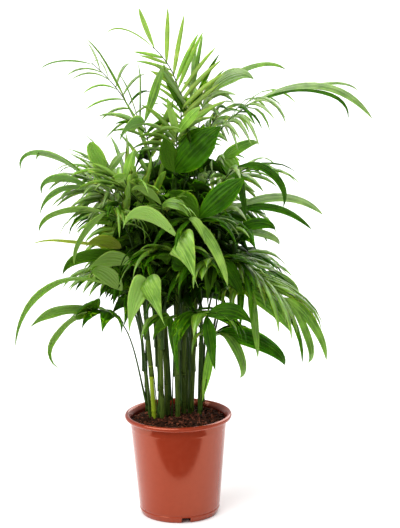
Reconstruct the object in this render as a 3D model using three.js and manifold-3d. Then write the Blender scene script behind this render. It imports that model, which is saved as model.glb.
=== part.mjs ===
// A parlour palm in its nursery pot, in millimetres, +Z up.
// The origin is the middle of the flat disc under the pot, which the plant stands on.
// Ten canes rise from the soil. Each frond is one solid: a three-sided stalk that leaves its
// cane in a steep arch, with blade-shaped leaflets fused to its far half.

import * as THREE from 'three';
import { mergeVertices } from 'three/addons/utils/BufferGeometryUtils.js';
import Module from 'manifold-3d';

const wasm = await Module();
wasm.setup();

// ---- Driving dimensions of the pot, a 17 cm nursery pot moulded in one piece

const POT_HEIGHT = 163;
const POT_FACETS = 36;
const WALL = 1.8;
const RIM_RADIUS = 85;
const BEAD_RADIUS = 3.8;
const BEAD_FACETS = 4;
const SHOULDER_RADIUS = 76.4;
const SHOULDER_HEIGHT = 12;
const SHOULDER_STEP = 2;
const WALL_TOP_RADIUS = 73.6;
const WALL_FOOT_RADIUS = 64;
const FOOT_HEIGHT = 11;
const FOOT_RADIUS = 61;
const GROOVE_DEPTH = 1;
const SEAT_RADIUS = 22;

const DRAINS = 4;
const DRAIN_WIDTH = 14;
const DRAIN_HEIGHT = 9;
const DRAIN_HOLE_RADIUS = 4;
const FIRST_DRAIN_DEG = -81;

const SOIL_LEVEL = 150;
const CLEARANCE = 0.3;

// ---- Driving dimensions of the plant

const CANE_SIDES = 6;
const CANE_STEPS = 7;
const CANE_TOP_SHARE = 0.62;
const CANE_BOW = 1.25;

const STALK_STEPS = 8;
const LEAVING_PULL = 0.42;
const ENDING_PULL = 0.36;
const STALK_FOOT_RADIUS = 2.3;
const STALK_END_RADIUS = 1.5;
const END_SHARE = 0.985;

const LEAF_THICKNESS_SHARE = 0.012;
const THINNEST_LEAF = 1;
const THINNEST_FACE = 0.0005;
const LEAF_ROOT = 0.5;
const LEAF_STEPS = 2;
const END_LEAF_STEPS = 3;
const OUTLINE_ROOT_POWER = 0.6;
const OUTLINE_TIP_POWER = 0.85;

// Leaflets are longest past the middle of the leafy part, and the first are this share of that.
const FIRST_LENGTH = 0.74;
const LENGTH_PHASE = 0.12;
const LENGTH_SPAN = 0.72;
const LAST_PAIR_WIDTH = 1.25;
const PAIR_STAGGER = 0.35;

// How much a leaflet varies by chance: angles in degrees, the rest as a share.
const VARY = { spread: 7, lift: 9, length: 0.12, width: 0.12, droop: 0.3, twist: 12 };

const UP = new THREE.Vector3(0, 0, 1);

// Each cane: foot x and y on the soil, then x, y and z of its top, then its radius at the foot.
const CANES = {
  a: [-45, 14, -62, 12, 340, 3.4],
  b: [-38, -6, -52, -20, 380, 4.6],
  c: [-25, -9, -30, -26, 430, 4.4],
  d: [-17, 11, -22, 8, 460, 4.8],
  e: [-1, 0, 2, -16, 470, 4.4],
  f: [9, 17, 14, 14, 480, 4.6],
  g: [21, 22, 36, 16, 430, 4.4],
  h: [34, 12, 54, 2, 300, 2.8],
  i: [-26, 40, -40, 64, 430, 4.2],
  k: [12, 46, 30, 76, 440, 4.2],
};

// What a frond has where its row says nothing. Angles are in degrees.
const USUAL = {
  bare: 0.56, // share of the stalk below its first leaflets
  pairs: 0, // pairs of side leaflets
  leaf: 100, // length of a side leaflet
  width: 12,
  droop: 0.8, // how far a leaflet bends towards the ground
  wide: 62, // angle between stalk and leaflet at the first pair
  narrow: 20, // and at the last pair
  lift: 12, // leaflets rise above the plane of the frond by this
  roll: 0, // the frond's plane is turned about the stalk by this
  uneven: 0, // one side's leaflets are longer than the other's by this share
  tint: 0,
  ends: [],
};

// Each frond: its cane and the share of the cane where it leaves it, the end of its stalk,
// the stalk's slope where it leaves and where it ends, then what differs from USUAL.
// ends are the broad leaves at the stalk's end: tip x, y, z, width, arch and turn of each.
const FRONDS = {
  top_left: ['e', 0.98, [-30, -20, 745], 88, 42, {
    bare: 0.46, pairs: 6, leaf: 74, width: 10, droop: 0.25, wide: 46, narrow: 34, lift: 0, roll: 75,
    uneven: -0.3, ends: [[-50, -25, 805, 13, -0.06, 80], [-100, -30, 770, 8, 0.35, 40]] }],
  thin_left: ['d', 0.98, [-125, 40, 715], 86, 38, {
    bare: 0.6, pairs: 6, leaf: 85, width: 7, wide: 74, roll: -25,
    ends: [[-205, 35, 710, 8, 0.2, 50]] }],
  top_right: ['f', 0.95, [120, 0, 655], 86, 34, {
    bare: 0.6, pairs: 5, leaf: 140, width: 9, droop: 1.7, wide: 50, narrow: 16,
    ends: [[305, -10, 630, 16, 0.42, 50], [285, -40, 640, 10, 0.34, 30], [295, 20, 680, 8, 0.12, 40]] }],
  upper_mid: ['g', 0.95, [50, 30, 665], 88, 66, {
    bare: 0.86, pairs: 2, leaf: 90, width: 14, droop: 1.2, wide: 40, narrow: 26,
    ends: [[125, 10, 690, 26, 0.42, 60], [175, 30, 705, 12, 0.3, 40]] }],
  upper_up: ['f', 0.98, [25, -10, 655], 89, 82, {
    bare: 0.85, pairs: 2, leaf: 95, width: 10, droop: 0.2, wide: 30, lift: 5,
    ends: [[45, -10, 760, 7, 0, 80], [35, -20, 750, 11, 0, 80]] }],
  upper_lean: ['d', 0.98, [-45, -40, 635], 86, 70, {
    bare: 0.8, pairs: 2, leaf: 80, width: 10, wide: 50, narrow: 30,
    ends: [[-15, -40, 720, 15, -0.04, 70], [-85, -60, 605, 34, 0.45, 60]] }],
  upper_back: ['k', 0.98, [65, 70, 620], 86, 55, {
    bare: 0.62, pairs: 5, leaf: 95, width: 13, droop: 1.2, roll: -20 }],
  upper_bright: ['e', 0.9, [5, -50, 620], 86, 60, {
    bare: 0.75, pairs: 3, leaf: 80, width: 13, tint: 1,
    ends: [[40, -60, 660, 20, 0, 70], [-10, -60, 675, 14, 0, 60]] }],

  left_high: ['c', 0.92, [-135, 0, 540], 78, 24, {
    pairs: 5, leaf: 105, width: 10, droop: 0.9, wide: 60, roll: -10,
    ends: [[-250, 0, 565, 14, 0.46, 40], [-220, 10, 580, 12, 0.3, 40]] }],
  left_paddle: ['c', 0.85, [-105, -60, 560], 80, 50, {
    bare: 0.8, pairs: 1, leaf: 70, width: 14, droop: 0.3,
    ends: [[-130, -70, 615, 18, 0, 80], [-75, -70, 595, 10, 0, 70]] }],
  left_mid: ['b', 0.95, [-125, -40, 530], 76, 20, {
    pairs: 4, leaf: 95, droop: 1.2, roll: 10,
    ends: [[-215, -50, 530, 15, 0.46, 50], [-210, -60, 500, 14, 0.46, 50]] }],
  left_low: ['b', 0.85, [-105, -90, 505], 76, 10, {
    bare: 0.7, pairs: 3, leaf: 90, width: 11, droop: 1.2, roll: 10,
    ends: [[-215, -90, 485, 11, 0.26, 50], [-160, -100, 430, 10, 0.3, 60]] }],
  left_back: ['i', 0.95, [-110, 70, 495], 74, 5, { pairs: 5, leaf: 95, width: 13, droop: 1.4 }],
  left_yellow: ['a', 0.95, [-85, -20, 435], 76, 20, {
    tint: 1, ends: [[-140, -30, 440, 20, 0.4, 60], [-220, -20, 450, 6, 0.05, 50]] }],
  left_broad: ['b', 0.75, [-70, -60, 420], 74, 10, {
    bare: 0.76, pairs: 2, leaf: 90, width: 14, droop: 1.1, wide: 50,
    ends: [[-180, -70, 410, 22, 0.34, 60], [-135, -90, 415, 22, 0.34, 60]] }],
  left_long: ['b', 0.6, [-85, -30, 370], 74, 8, {
    ends: [[-260, -40, 290, 20, 0.62, 40], [-135, -60, 405, 20, 0.4, 60]] }],
  left_fan: ['a', 0.12, [-130, -10, 330], 76, -8, {
    bare: 0.76, pairs: 3, leaf: 80, droop: 1.9, wide: 70,
    ends: [[-230, -20, 310, 18, 0.3, 50], [-215, -40, 245, 16, 0.45, 50], [-160, -60, 330, 28, 0.4, 50]] }],
  left_deep: ['i', 0.6, [-115, 90, 375], 70, 0, { bare: 0.6, pairs: 5, width: 16, droop: 1.4 }],

  right_high: ['g', 0.9, [75, 10, 480], 78, 30, {
    bare: 0.58, pairs: 4, width: 11, droop: 1.3, wide: 50,
    ends: [[230, 0, 480, 15, 0.34, 50], [210, -20, 460, 12, 0.34, 50]] }],
  right_small: ['k', 0.95, [75, 50, 560], 80, 40, {
    pairs: 4, leaf: 80, width: 11, droop: 1,
    ends: [[135, 40, 590, 17, 0.15, 60], [105, 30, 515, 30, 0.3, 60]] }],
  right_arch: ['g', 0.8, [95, -20, 560], 82, 40, {
    bare: 0.76, pairs: 2, leaf: 90, width: 15, droop: 1.5, wide: 50,
    ends: [[180, -30, 495, 17, 0.6, 50], [110, -10, 470, 18, 0.3, 70]] }],
  right_mid: ['h', 0.95, [90, -10, 455], 70, 24, {
    bare: 0.58, pairs: 4, leaf: 85, droop: 1.2,
    ends: [[160, -20, 460, 18, 0.34, 60], [170, -20, 435, 12, 0.25, 60]] }],
  right_long: ['f', 0.75, [165, -80, 365], 74, -42, {
    bare: 0.5, pairs: 5, leaf: 95, width: 14, droop: 0.9, wide: 44,
    ends: [[235, -80, 265, 15, 0.35, 60], [215, -90, 245, 11, 0.4, 60]] }],
  right_broad: ['h', 0.8, [100, -20, 375], 64, 10, {
    bare: 0.72, pairs: 2, leaf: 90, width: 16, droop: 1.3,
    ends: [[200, -30, 370, 25, 0.34, 60], [180, -40, 300, 28, 0.25, 60]] }],
  right_lower: ['h', 0.45, [65, -30, 300], 74, 10, {
    bare: 0.72, pairs: 2, leaf: 75, width: 16, droop: 1.4,
    ends: [[180, -40, 245, 26, 0.25, 60], [110, -50, 215, 15, 0.6, 60]] }],
  right_hang: ['g', 0.7, [115, -60, 375], 74, 0, {
    bare: 0.72, pairs: 2, leaf: 80, width: 14, droop: 1.4,
    ends: [[125, -60, 265, 12, 0.1, 80], [210, -50, 325, 12, 0.4, 60]] }],
  right_deep: ['k', 0.7, [120, 80, 390], 70, 0, { bare: 0.58, pairs: 5, leaf: 95, width: 15, droop: 1.4 }],
  right_young: ['h', 0.08, [45, -10, 220], 84, 82, { tint: 1, ends: [[55, -15, 280, 15, 0, 80]] }],

  front_broad: ['c', 0.95, [5, -120, 470], 82, 30, {
    tint: 2, ends: [[-80, -150, 495, 46, 0.6, 60], [30, -150, 400, 56, 0.35, 75]] }],
  front_left: ['b', 0.6, [-45, -120, 410], 78, 20, {
    tint: 2, ends: [[-20, -140, 340, 48, 0.2, 85], [-75, -135, 325, 44, 0.3, 85]] }],
  front_high: ['d', 0.9, [-20, -110, 520], 82, 30, {
    bare: 0.8, pairs: 2, leaf: 80, width: 13, droop: 1.2,
    ends: [[20, -130, 505, 20, 0.5, 60], [-65, -120, 545, 16, 0.4, 60]] }],
  front_right: ['e', 0.85, [20, -110, 500], 84, 50, {
    tint: 2, ends: [[45, -120, 460, 20, 0.6, 70], [80, -120, 395, 18, 0.35, 60]] }],
  front_low: ['e', 0.45, [45, -120, 350], 74, 10, {
    bare: 0.6, pairs: 3, leaf: 88, width: 21, droop: 1.5,
    ends: [[115, -130, 340, 24, 0.4, 60], [55, -130, 265, 18, 0.3, 70]] }],
  front_strip: ['c', 0.5, [-10, -80, 340], 80, 20, {
    bare: 0.6, pairs: 2, leaf: 75, width: 16, droop: 1.2,
    ends: [[0, -85, 250, 12, 0.1, 85], [-40, -90, 300, 22, 0.3, 80]] }],
  centre_high: ['e', 0.8, [0, -50, 560], 86, 66, {
    ends: [[70, -60, 630, 56, 0.03, 70], [-15, -60, 615, 32, 0, 80]] }],
  centre_dark: ['f', 0.9, [35, -90, 495], 82, 40, {
    bare: 0.6, pairs: 3, leaf: 80, width: 18,
    ends: [[105, -90, 555, 32, 0.04, 75], [-10, -90, 535, 32, 0.15, 75]] }],
  centre_left: ['d', 0.95, [-75, -90, 555], 82, 60, {
    bare: 0.7, pairs: 3, leaf: 75, droop: 0.5, tint: 1,
    ends: [[-60, -90, 600, 14, 0, 80], [-95, -100, 560, 18, 0.3, 60]] }],
  centre_low: ['d', 0.7, [-5, -90, 440], 80, 30, {
    bare: 0.5, pairs: 4, leaf: 95, width: 26,
    ends: [[40, -90, 395, 38, 0.25, 70], [-40, -90, 420, 36, 0.25, 70]] }],
  centre_right: ['f', 0.6, [60, -80, 425], 80, 30, {
    bare: 0.5, pairs: 4, leaf: 95, width: 24,
    ends: [[110, -90, 365, 26, 0.35, 65], [45, -90, 350, 34, 0.3, 75]] }],
};

// The fronds at the back stand in a fan behind the canes, near and far by turns, at three heights.
const BACK_CANES = 'gkkkiiidc';
const BACK = { bare: 0.52, pairs: 6, leaf: 108, width: 16, droop: 1.25 };
const BACK_CENTRE_Y = 50;
const BACK_LOWEST = 400;
const BACK_RISE = 65;
for (const [n, cane] of [...BACK_CANES].entries()) {
  const angle = THREE.MathUtils.degToRad(10 + 20 * n);
  const reach = n % 2 ? 140 : 105;
  const x = reach * Math.cos(angle);
  const y = BACK_CENTRE_Y + reach * Math.sin(angle);
  const z = BACK_LOWEST + BACK_RISE * ((2 * n) % 3);
  FRONDS[`back_${n + 1}`] = [cane, 0.55 + 0.12 * (n % 4), [x, y, z], 80, 5, BACK];
}

// Small moves, in millimetres, that a stalk or a leaf may make to pass clear of its neighbours.
const MOVES = [[0, 0, 0]];
for (const far of [2, 8, 16, 24, 32]) {
  MOVES.push([0, 0, far], [far, 0, 0], [-far, 0, 0], [0, far, 0], [0, -far, 0], [0, 0, -far]);
}

// ---- Solids from three.js geometry

// A closed geometry as a solid: shared corners merged, faces of no area dropped, faces outwards.
function solidOf(geometry) {
  geometry.deleteAttribute('normal');
  geometry.deleteAttribute('uv');
  const merged = mergeVertices(geometry, 1e-4);
  const corners = merged.attributes.position.array;
  const faces = [];
  let volume = 0;
  for (let f = 0; f < merged.index.count; f += 3) {
    const [a, b, c] = merged.index.array.slice(f, f + 3);
    if (a === b || b === c || c === a) continue;
    faces.push([a, b, c]);
    const [p, q, r] = [a, b, c].map((v) => new THREE.Vector3().fromArray(corners, 3 * v));
    volume += p.dot(q.cross(r));
  }
  const outward = faces.map((face) => (volume < 0 ? face.reverse() : face));
  const triVerts = new Uint32Array(outward.flat());
  const vertProperties = new Float32Array(corners);
  return new wasm.Manifold(new wasm.Mesh({ numProp: 3, vertProperties, triVerts }));
}

// A solid of revolution about Z. Its profile of [radius, height] points starts and ends on the axis.
function turned(profile) {
  const points = profile.map(([radius, height]) => new THREE.Vector2(radius, height));
  return solidOf(new THREE.LatheGeometry(points, POT_FACETS).rotateX(Math.PI / 2));
}

// A prism whose axis is carried along a path. place takes the share of the length and the two
// coordinates of a point on the unit circle, and gives the point in space.
function carried(sides, steps, place) {
  const prism = new THREE.CylinderGeometry(1, 1, 1, sides, steps);
  const at = prism.attributes.position;
  for (let v = 0; v < at.count; v += 1) {
    const point = place(at.getY(v) + 0.5, at.getX(v), at.getZ(v));
    at.setXYZ(v, point.x, point.y, point.z);
  }
  return solidOf(prism);
}

// ---- The pot and its soil

const wallStart = FOOT_HEIGHT + 2;
const shoulderStart = POT_HEIGHT - 2 * BEAD_RADIUS - SHOULDER_HEIGHT;
const beadCentre = RIM_RADIUS - BEAD_RADIUS;
const beadHeight = POT_HEIGHT - BEAD_RADIUS;

// The outside: rounded foot, groove above it, tapered wall, stepped shoulder and rolled bead.
function potOutside() {
  const profile = [
    [0, 0],
    [FOOT_RADIUS - 1.5, 0],
    [FOOT_RADIUS, 1],
    [WALL_FOOT_RADIUS, FOOT_HEIGHT - 2],
    [WALL_FOOT_RADIUS - GROOVE_DEPTH, FOOT_HEIGHT],
    [WALL_FOOT_RADIUS, wallStart],
    [WALL_TOP_RADIUS, shoulderStart - SHOULDER_STEP],
    [SHOULDER_RADIUS, shoulderStart],
    [SHOULDER_RADIUS, POT_HEIGHT - 2 * BEAD_RADIUS],
  ];
  for (let step = 0; step <= BEAD_FACETS; step += 1) {
    const angle = THREE.MathUtils.degToRad(-80 + (step / BEAD_FACETS) * 220);
    profile.push([
      beadCentre + BEAD_RADIUS * Math.cos(angle),
      beadHeight + BEAD_RADIUS * Math.sin(angle),
    ]);
  }
  profile.push([0, beadHeight]);
  return turned(profile);
}

// The space inside the wall, up to a height; grown is how far it stands back from the wall.
function potInside(top, grown) {
  const foot = WALL_FOOT_RADIUS - GROOVE_DEPTH - WALL - grown;
  const neck = SHOULDER_RADIUS - WALL - grown;
  return turned([
    [0, WALL + grown],
    [FOOT_RADIUS - WALL - 1 - grown, WALL + grown],
    [foot, FOOT_HEIGHT - 2],
    [foot, wallStart],
    [WALL_TOP_RADIUS - WALL - grown, shoulderStart - SHOULDER_STEP],
    [neck, shoulderStart + 1],
    [neck, top],
    [0, top],
  ]);
}

// A channel runs outwards under the floor to a notch in the foot. grown widens it all round.
function drainChannels(grown) {
  const length = WALL_FOOT_RADIUS + 8 - SEAT_RADIUS + grown;
  const tall = DRAIN_HEIGHT + grown + 1;
  const channels = [];
  for (let n = 0; n < DRAINS; n += 1) {
    const box = new THREE.BoxGeometry(length, DRAIN_WIDTH + 2 * grown, tall);
    box.translate(SEAT_RADIUS - grown + length / 2, 0, tall / 2 - 1);
    box.rotateZ(THREE.MathUtils.degToRad(FIRST_DRAIN_DEG + (360 / DRAINS) * n));
    channels.push(solidOf(box));
  }
  return channels.reduce((whole, channel) => whole.add(channel));
}

// A round hole through the roof of each channel.
function drainHoles() {
  const holes = [];
  for (let n = 0; n < DRAINS; n += 1) {
    const hole = new THREE.CylinderGeometry(DRAIN_HOLE_RADIUS, DRAIN_HOLE_RADIUS, 4 * WALL, 12);
    hole.rotateX(Math.PI / 2);
    hole.translate((SEAT_RADIUS + WALL_FOOT_RADIUS) / 2, 0, DRAIN_HEIGHT + WALL / 2);
    hole.rotateZ(THREE.MathUtils.degToRad(FIRST_DRAIN_DEG + (360 / DRAINS) * n));
    holes.push(solidOf(hole));
  }
  return holes.reduce((whole, hole) => whole.add(hole));
}

function potSolid() {
  const inside = potInside(POT_HEIGHT, 0).subtract(drainChannels(WALL));
  return potOutside().subtract(inside).subtract(drainChannels(0)).subtract(drainHoles());
}

function soilSolid() {
  return potInside(SOIL_LEVEL, CLEARANCE).subtract(drainChannels(WALL + CLEARANCE));
}

// ---- Canes

// The point at a share of a cane's height: it leans outwards faster towards its top.
function canePoint(row, share) {
  const [x, y, topX, topY, topZ] = row;
  const lean = share ** CANE_BOW;
  const foot = SOIL_LEVEL + CLEARANCE;
  const height = foot + (topZ - foot) * share;
  return new THREE.Vector3(x + (topX - x) * lean, y + (topY - y) * lean, height);
}

function caneRadius(row, share) {
  return row[5] * (1 + (CANE_TOP_SHARE - 1) * share);
}

function caneSolid(row, grown) {
  return carried(CANE_SIDES, CANE_STEPS, (share, x, z) => {
    const radius = caneRadius(row, share) + grown;
    return canePoint(row, share).add(new THREE.Vector3(radius * z, radius * x, 0));
  });
}

// ---- Stalks

function heading(from, to) {
  return Math.atan2(to.y - from.y, to.x - from.x);
}

// A unit step at a slope above the horizon, in the plan direction of an angle.
function sloping(degrees, angle) {
  const slope = THREE.MathUtils.degToRad(degrees);
  const level = Math.cos(slope);
  return new THREE.Vector3(level * Math.cos(angle), level * Math.sin(angle), Math.sin(slope));
}

// The stalk's middle line: a cubic curve from the cane's surface to its end. A move bends its middle.
function stalkLine(frond, move) {
  const [cane, share, end, rise, fall] = frond;
  const last = new THREE.Vector3(...end);
  const middle = canePoint(CANES[cane], share);
  const angle = heading(middle, last);
  const first = middle.add(sloping(0, angle).multiplyScalar(caneRadius(CANES[cane], share)));
  const span = first.distanceTo(last);
  const bend = new THREE.Vector3(...move);
  const leaving = sloping(rise, angle).multiplyScalar(LEAVING_PULL * span).add(first).add(bend);
  const ending = sloping(fall, angle).multiplyScalar(-ENDING_PULL * span).add(last);
  ending.addScaledVector(bend, 0.5);
  return new THREE.CubicBezierCurve3(first, leaving, ending, last);
}

// The point at a share of the stalk, on the straight piece between two of its rings.
function stalkPoint(line, share) {
  const ring = Math.min(Math.floor(share * STALK_STEPS), STALK_STEPS - 1);
  const before = line.getPoint(ring / STALK_STEPS);
  return before.lerp(line.getPoint((ring + 1) / STALK_STEPS), share * STALK_STEPS - ring);
}

// At a share of the stalk: the point, the way it runs, and the level and upright directions across it.
function stalkFrame(line, share) {
  const point = stalkPoint(line, share);
  const along = line.getTangent(share);
  const angle = heading(line.v0, line.v3);
  const level = new THREE.Vector3(Math.sin(angle), -Math.cos(angle), 0);
  level.addScaledVector(along, -level.dot(along)).normalize();
  const upright = level.clone().cross(along);
  return { point, along, level, upright };
}

function stalkSolid(line, grown) {
  return carried(3, STALK_STEPS, (share, x, z) => {
    const { point, level, upright } = stalkFrame(line, share);
    const radius = STALK_FOOT_RADIUS + (STALK_END_RADIUS - STALK_FOOT_RADIUS) * share + grown;
    return point.addScaledVector(level, radius * x).addScaledVector(upright, radius * z);
  });
}

// ---- Leaves

// A number from 0 to 1 that looks random and is the same every time for the same three numbers.
function chance(a, b, c) {
  const wave = Math.sin(a * 12.9898 + b * 78.233 + c * 37.719) * 43758.5453;
  return wave - Math.floor(wave);
}

// A leaf is a quadratic curve from root over bend to tip, with the direction across it, a width
// and a twist. A side leaflet starts at its spread from the stalk, lifts above the frond's plane
// and ends turned towards the ground by its droop. n counts the fronds; side is -1 or 1.
function sideLeaf(n, look, line, pair, side) {
  const rows = look.pairs + (look.ends.length ? 1 : 0);
  const last = pair === rows - 1;
  const share = pair / Math.max(rows - 1, 1);
  const step = (pair + (PAIR_STAGGER * (side + 1)) / 2) / Math.max(rows - 0.7, 1);
  const frame = stalkFrame(line, last ? END_SHARE : look.bare + (1 - look.bare) * step);
  const { degToRad } = THREE.MathUtils;
  const across = frame.level.clone().applyAxisAngle(frame.along, degToRad(look.roll));
  const above = across.clone().cross(frame.along);
  const vary = (kind) => 2 * chance(n, 2 * pair + (side > 0 ? 1 : 0), kind) - 1;
  const spread = degToRad(look.wide + (look.narrow - look.wide) * share + VARY.spread * vary(1));
  const lift = degToRad(look.lift + VARY.lift * vary(2));
  const start = frame.along.clone().multiplyScalar(Math.cos(spread));
  start.addScaledVector(across, side * Math.sin(spread)).multiplyScalar(Math.cos(lift));
  start.addScaledVector(above, Math.sin(lift));
  const wide = frame.along.clone().multiplyScalar(side * Math.sin(spread));
  wide.addScaledVector(across, -Math.cos(spread));
  const form = Math.sin(Math.PI * (LENGTH_PHASE + LENGTH_SPAN * share));
  const uneven = 1 + look.uneven * side;
  const grown = uneven * (FIRST_LENGTH + (1 - FIRST_LENGTH) * form);
  const length = look.leaf * grown * (1 + VARY.length * vary(3));
  const broad = (0.4 + 0.6 * uneven) * (last ? LAST_PAIR_WIDTH : 1);
  const width = look.width * broad * (1 + VARY.width * vary(4));
  const droop = look.droop * (1 + VARY.droop * vary(5));
  const bend = frame.point.clone().addScaledVector(start, length / 2);
  const tip = start.clone().addScaledVector(UP, -droop).normalize().multiplyScalar(length / 2).add(bend);
  const twist = degToRad(VARY.twist * vary(6));
  return { root: frame.point, bend, tip, wide, width, twist, steps: LEAF_STEPS };
}

// A leaf at the stalk's end is aimed at its tip. arch lifts its middle and turn stands it on edge.
function endLeaf(line, [x, y, z, width, arch, turn]) {
  const root = stalkPoint(line, END_SHARE);
  const tip = new THREE.Vector3(x, y, z);
  const reach = tip.clone().sub(root);
  const bend = root.clone().addScaledVector(reach, 0.5 + 0.3 * Math.max(arch, 0));
  bend.addScaledVector(UP, arch * reach.length());
  const along = reach.clone().normalize();
  const level = UP.clone().cross(along).normalize();
  const wide = level.clone().applyAxisAngle(along, THREE.MathUtils.degToRad(turn));
  return { root, bend, tip, wide, width, twist: 0, steps: END_LEAF_STEPS };
}

function moved(leaf, move) {
  const shift = new THREE.Vector3(...move);
  const bend = leaf.bend.clone().addScaledVector(shift, 0.5);
  return { ...leaf, bend, tip: leaf.tip.clone().add(shift) };
}

// The outline's height at a share of the length, before it is scaled to its greatest.
function outline(share) {
  return share ** OUTLINE_ROOT_POWER * (1 - share) ** OUTLINE_TIP_POWER;
}

const WIDEST = outline(OUTLINE_ROOT_POWER / (OUTLINE_ROOT_POWER + OUTLINE_TIP_POWER));

// Half the width at a share of the length: a thin root, widest at two fifths, then a long point.
function leafHalf(leaf, share) {
  return share === 0 ? LEAF_ROOT : ((leaf.width / 2) * outline(share)) / WIDEST;
}

// The blade is a three-sided prism: two edges, and a ridge on the upper face. The direction across
// it is turned at the root by the leaf's twist and carried on by the smallest turn that the curve
// makes, so each long face stays nearly flat and the two sides of the thin blade don't meet.
function leafSolid(leaf, grown) {
  const line = new THREE.QuadraticBezierCurve3(leaf.root, leaf.bend, leaf.tip);
  const thickness = Math.max(THINNEST_LEAF, LEAF_THICKNESS_SHARE * line.getLength()) + 2 * grown;
  const start = line.getTangent(0);
  const level = leaf.wide.clone().addScaledVector(start, -leaf.wide.dot(start)).normalize();
  level.applyAxisAngle(start, leaf.twist);
  return carried(3, leaf.steps, (share, x, z) => {
    const along = line.getTangent(share);
    const turn = new THREE.Quaternion().setFromUnitVectors(start, along);
    const wide = level.clone().applyQuaternion(turn);
    const above = along.clone().cross(wide);
    const half = share < 1 ? leafHalf(leaf, share) + grown : 0;
    const tall = share > 0 && share < 1 ? thickness : LEAF_ROOT * (1 - share);
    const across = x / Math.sin(THREE.MathUtils.degToRad(120));
    const point = line.getPoint(share).addScaledVector(wide, half * across);
    return point.addScaledVector(above, (tall * z) / 1.5);
  });
}

function leavesOf(n, look, line) {
  const leaves = [];
  for (let pair = 0; pair < look.pairs; pair += 1) {
    for (const side of [-1, 1]) leaves.push(sideLeaf(n, look, line, pair, side));
  }
  for (const end of look.ends) leaves.push(endLeaf(line, end));
  return leaves;
}

// ---- Keeping pieces clear of each other

const placed = [];

function place(solid, owner) {
  placed.push({ solid, owner, box: solid.boundingBox() });
}

function boxesMeet(a, b) {
  return [0, 1, 2].every((i) => a.min[i] <= b.max[i] && b.min[i] <= a.max[i]);
}

// Whether a solid is clear of all that is placed, apart from what the owners named are part of.
function isClear(solid, ...owners) {
  const box = solid.boundingBox();
  return placed.every((other) => {
    if (owners.includes(other.owner) || !boxesMeet(box, other.box)) return true;
    return solid.intersect(other.solid).isEmpty();
  });
}

// The least height of a face, which is nearly nothing where two surfaces almost touch along a line.
function thinnestFace(solid) {
  const { vertProperties, triVerts } = solid.getMesh();
  let thinnest = Infinity;
  for (let f = 0; f < triVerts.length; f += 3) {
    const face = [0, 1, 2].map((k) => new THREE.Vector3().fromArray(vertProperties, 3 * triVerts[f + k]));
    const longest = Math.max(...face.map((corner, k) => corner.distanceTo(face[(k + 1) % 3])));
    thinnest = Math.min(thinnest, (2 * new THREE.Triangle(...face).getArea()) / longest);
  }
  return thinnest;
}

// ---- The whole plant

const pot = potSolid();
const soil = soilSolid();
place(pot, 'pot');
place(soil, 'soil');
const canes = {};
for (const [name, row] of Object.entries(CANES)) {
  canes[name] = caneSolid(row, 0);
  place(canes[name], name);
}

// A stalk cut back from its own cane by the clearance.
function stalkFrom(cane, line) {
  const pieces = stalkSolid(line, 0).subtract(caneSolid(CANES[cane], CLEARANCE)).decompose();
  return pieces.sort((a, b) => b.volume() - a.volume())[0];
}

// Stalks come first, each bent as little as clears the others.
const stalks = {};
for (const [name, frond] of Object.entries(FRONDS)) {
  for (const move of MOVES) {
    const line = stalkLine(frond, move);
    const solid = stalkFrom(frond[0], line);
    if (thinnestFace(solid) < THINNEST_FACE) continue;
    if (isClear(stalkSolid(line, CLEARANCE), frond[0])) {
      stalks[name] = { line, solid };
      place(solid, name);
      break;
    }
  }
}

// Then each frond's leaves, moved a little or left out where they would touch another piece.
function withLeaf(whole, leaf, name) {
  for (const move of MOVES) {
    const joined = whole.add(leafSolid(moved(leaf, move), 0));
    if (joined.decompose().length > 1 || thinnestFace(joined) < THINNEST_FACE) continue;
    if (isClear(leafSolid(moved(leaf, move), CLEARANCE), name)) {
      place(leafSolid(moved(leaf, move), 0), name);
      return joined;
    }
  }
  return whole;
}

const fronds = {};
for (const [n, name] of Object.keys(FRONDS).entries()) {
  if (!stalks[name]) continue;
  const look = { ...USUAL, ...FRONDS[name][5] };
  let whole = stalks[name].solid;
  for (const leaf of leavesOf(n, look, stalks[name].line)) whole = withLeaf(whole, leaf, name);
  fronds[name] = whole;
}

// ---- Materials and the finished group

const COLOURS = { pot: 0xb85640, soil: 0x3a2418, cane: 0x3f5a22 };
const LEAF_COLOURS = [0x3f7a24, 0x7fae2e, 0x6f9c50];

function meshOf(name, solid, material) {
  const { vertProperties, triVerts } = solid.getMesh();
  const geometry = new THREE.BufferGeometry();
  geometry.setAttribute('position', new THREE.BufferAttribute(vertProperties, 3));
  geometry.setIndex(new THREE.BufferAttribute(triVerts, 1));
  const mesh = new THREE.Mesh(geometry, material);
  mesh.name = name;
  return mesh;
}

function finish(color, roughness) {
  return new THREE.MeshStandardMaterial({ color, roughness, metalness: 0 });
}

const group = new THREE.Group();
group.add(meshOf('pot', pot, finish(COLOURS.pot, 0.28)));
group.add(meshOf('soil', soil, finish(COLOURS.soil, 0.95)));
for (const [name, solid] of Object.entries(canes)) {
  group.add(meshOf(`cane_${name}`, solid, finish(COLOURS.cane, 0.55)));
}
for (const [name, solid] of Object.entries(fronds)) {
  const look = { ...USUAL, ...FRONDS[name][5] };
  group.add(meshOf(`frond_${name}`, solid, finish(LEAF_COLOURS[look.tint], 0.5)));
}

export default group;
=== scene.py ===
# %% [markdown]
# # A parlour palm in its nursery pot
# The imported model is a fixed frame: it says where the pot, the soil, each cane and each frond is.
# This lesson dresses it. It turns a smooth pot, heaps bark soil in it, wraps the canes in their
# sheaths and grows every leaflet again from the rule that shaped the solids, only finer.

# %% Load the frame
import math

import bpy
import numpy as np
from mathutils import Matrix, Vector


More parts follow.
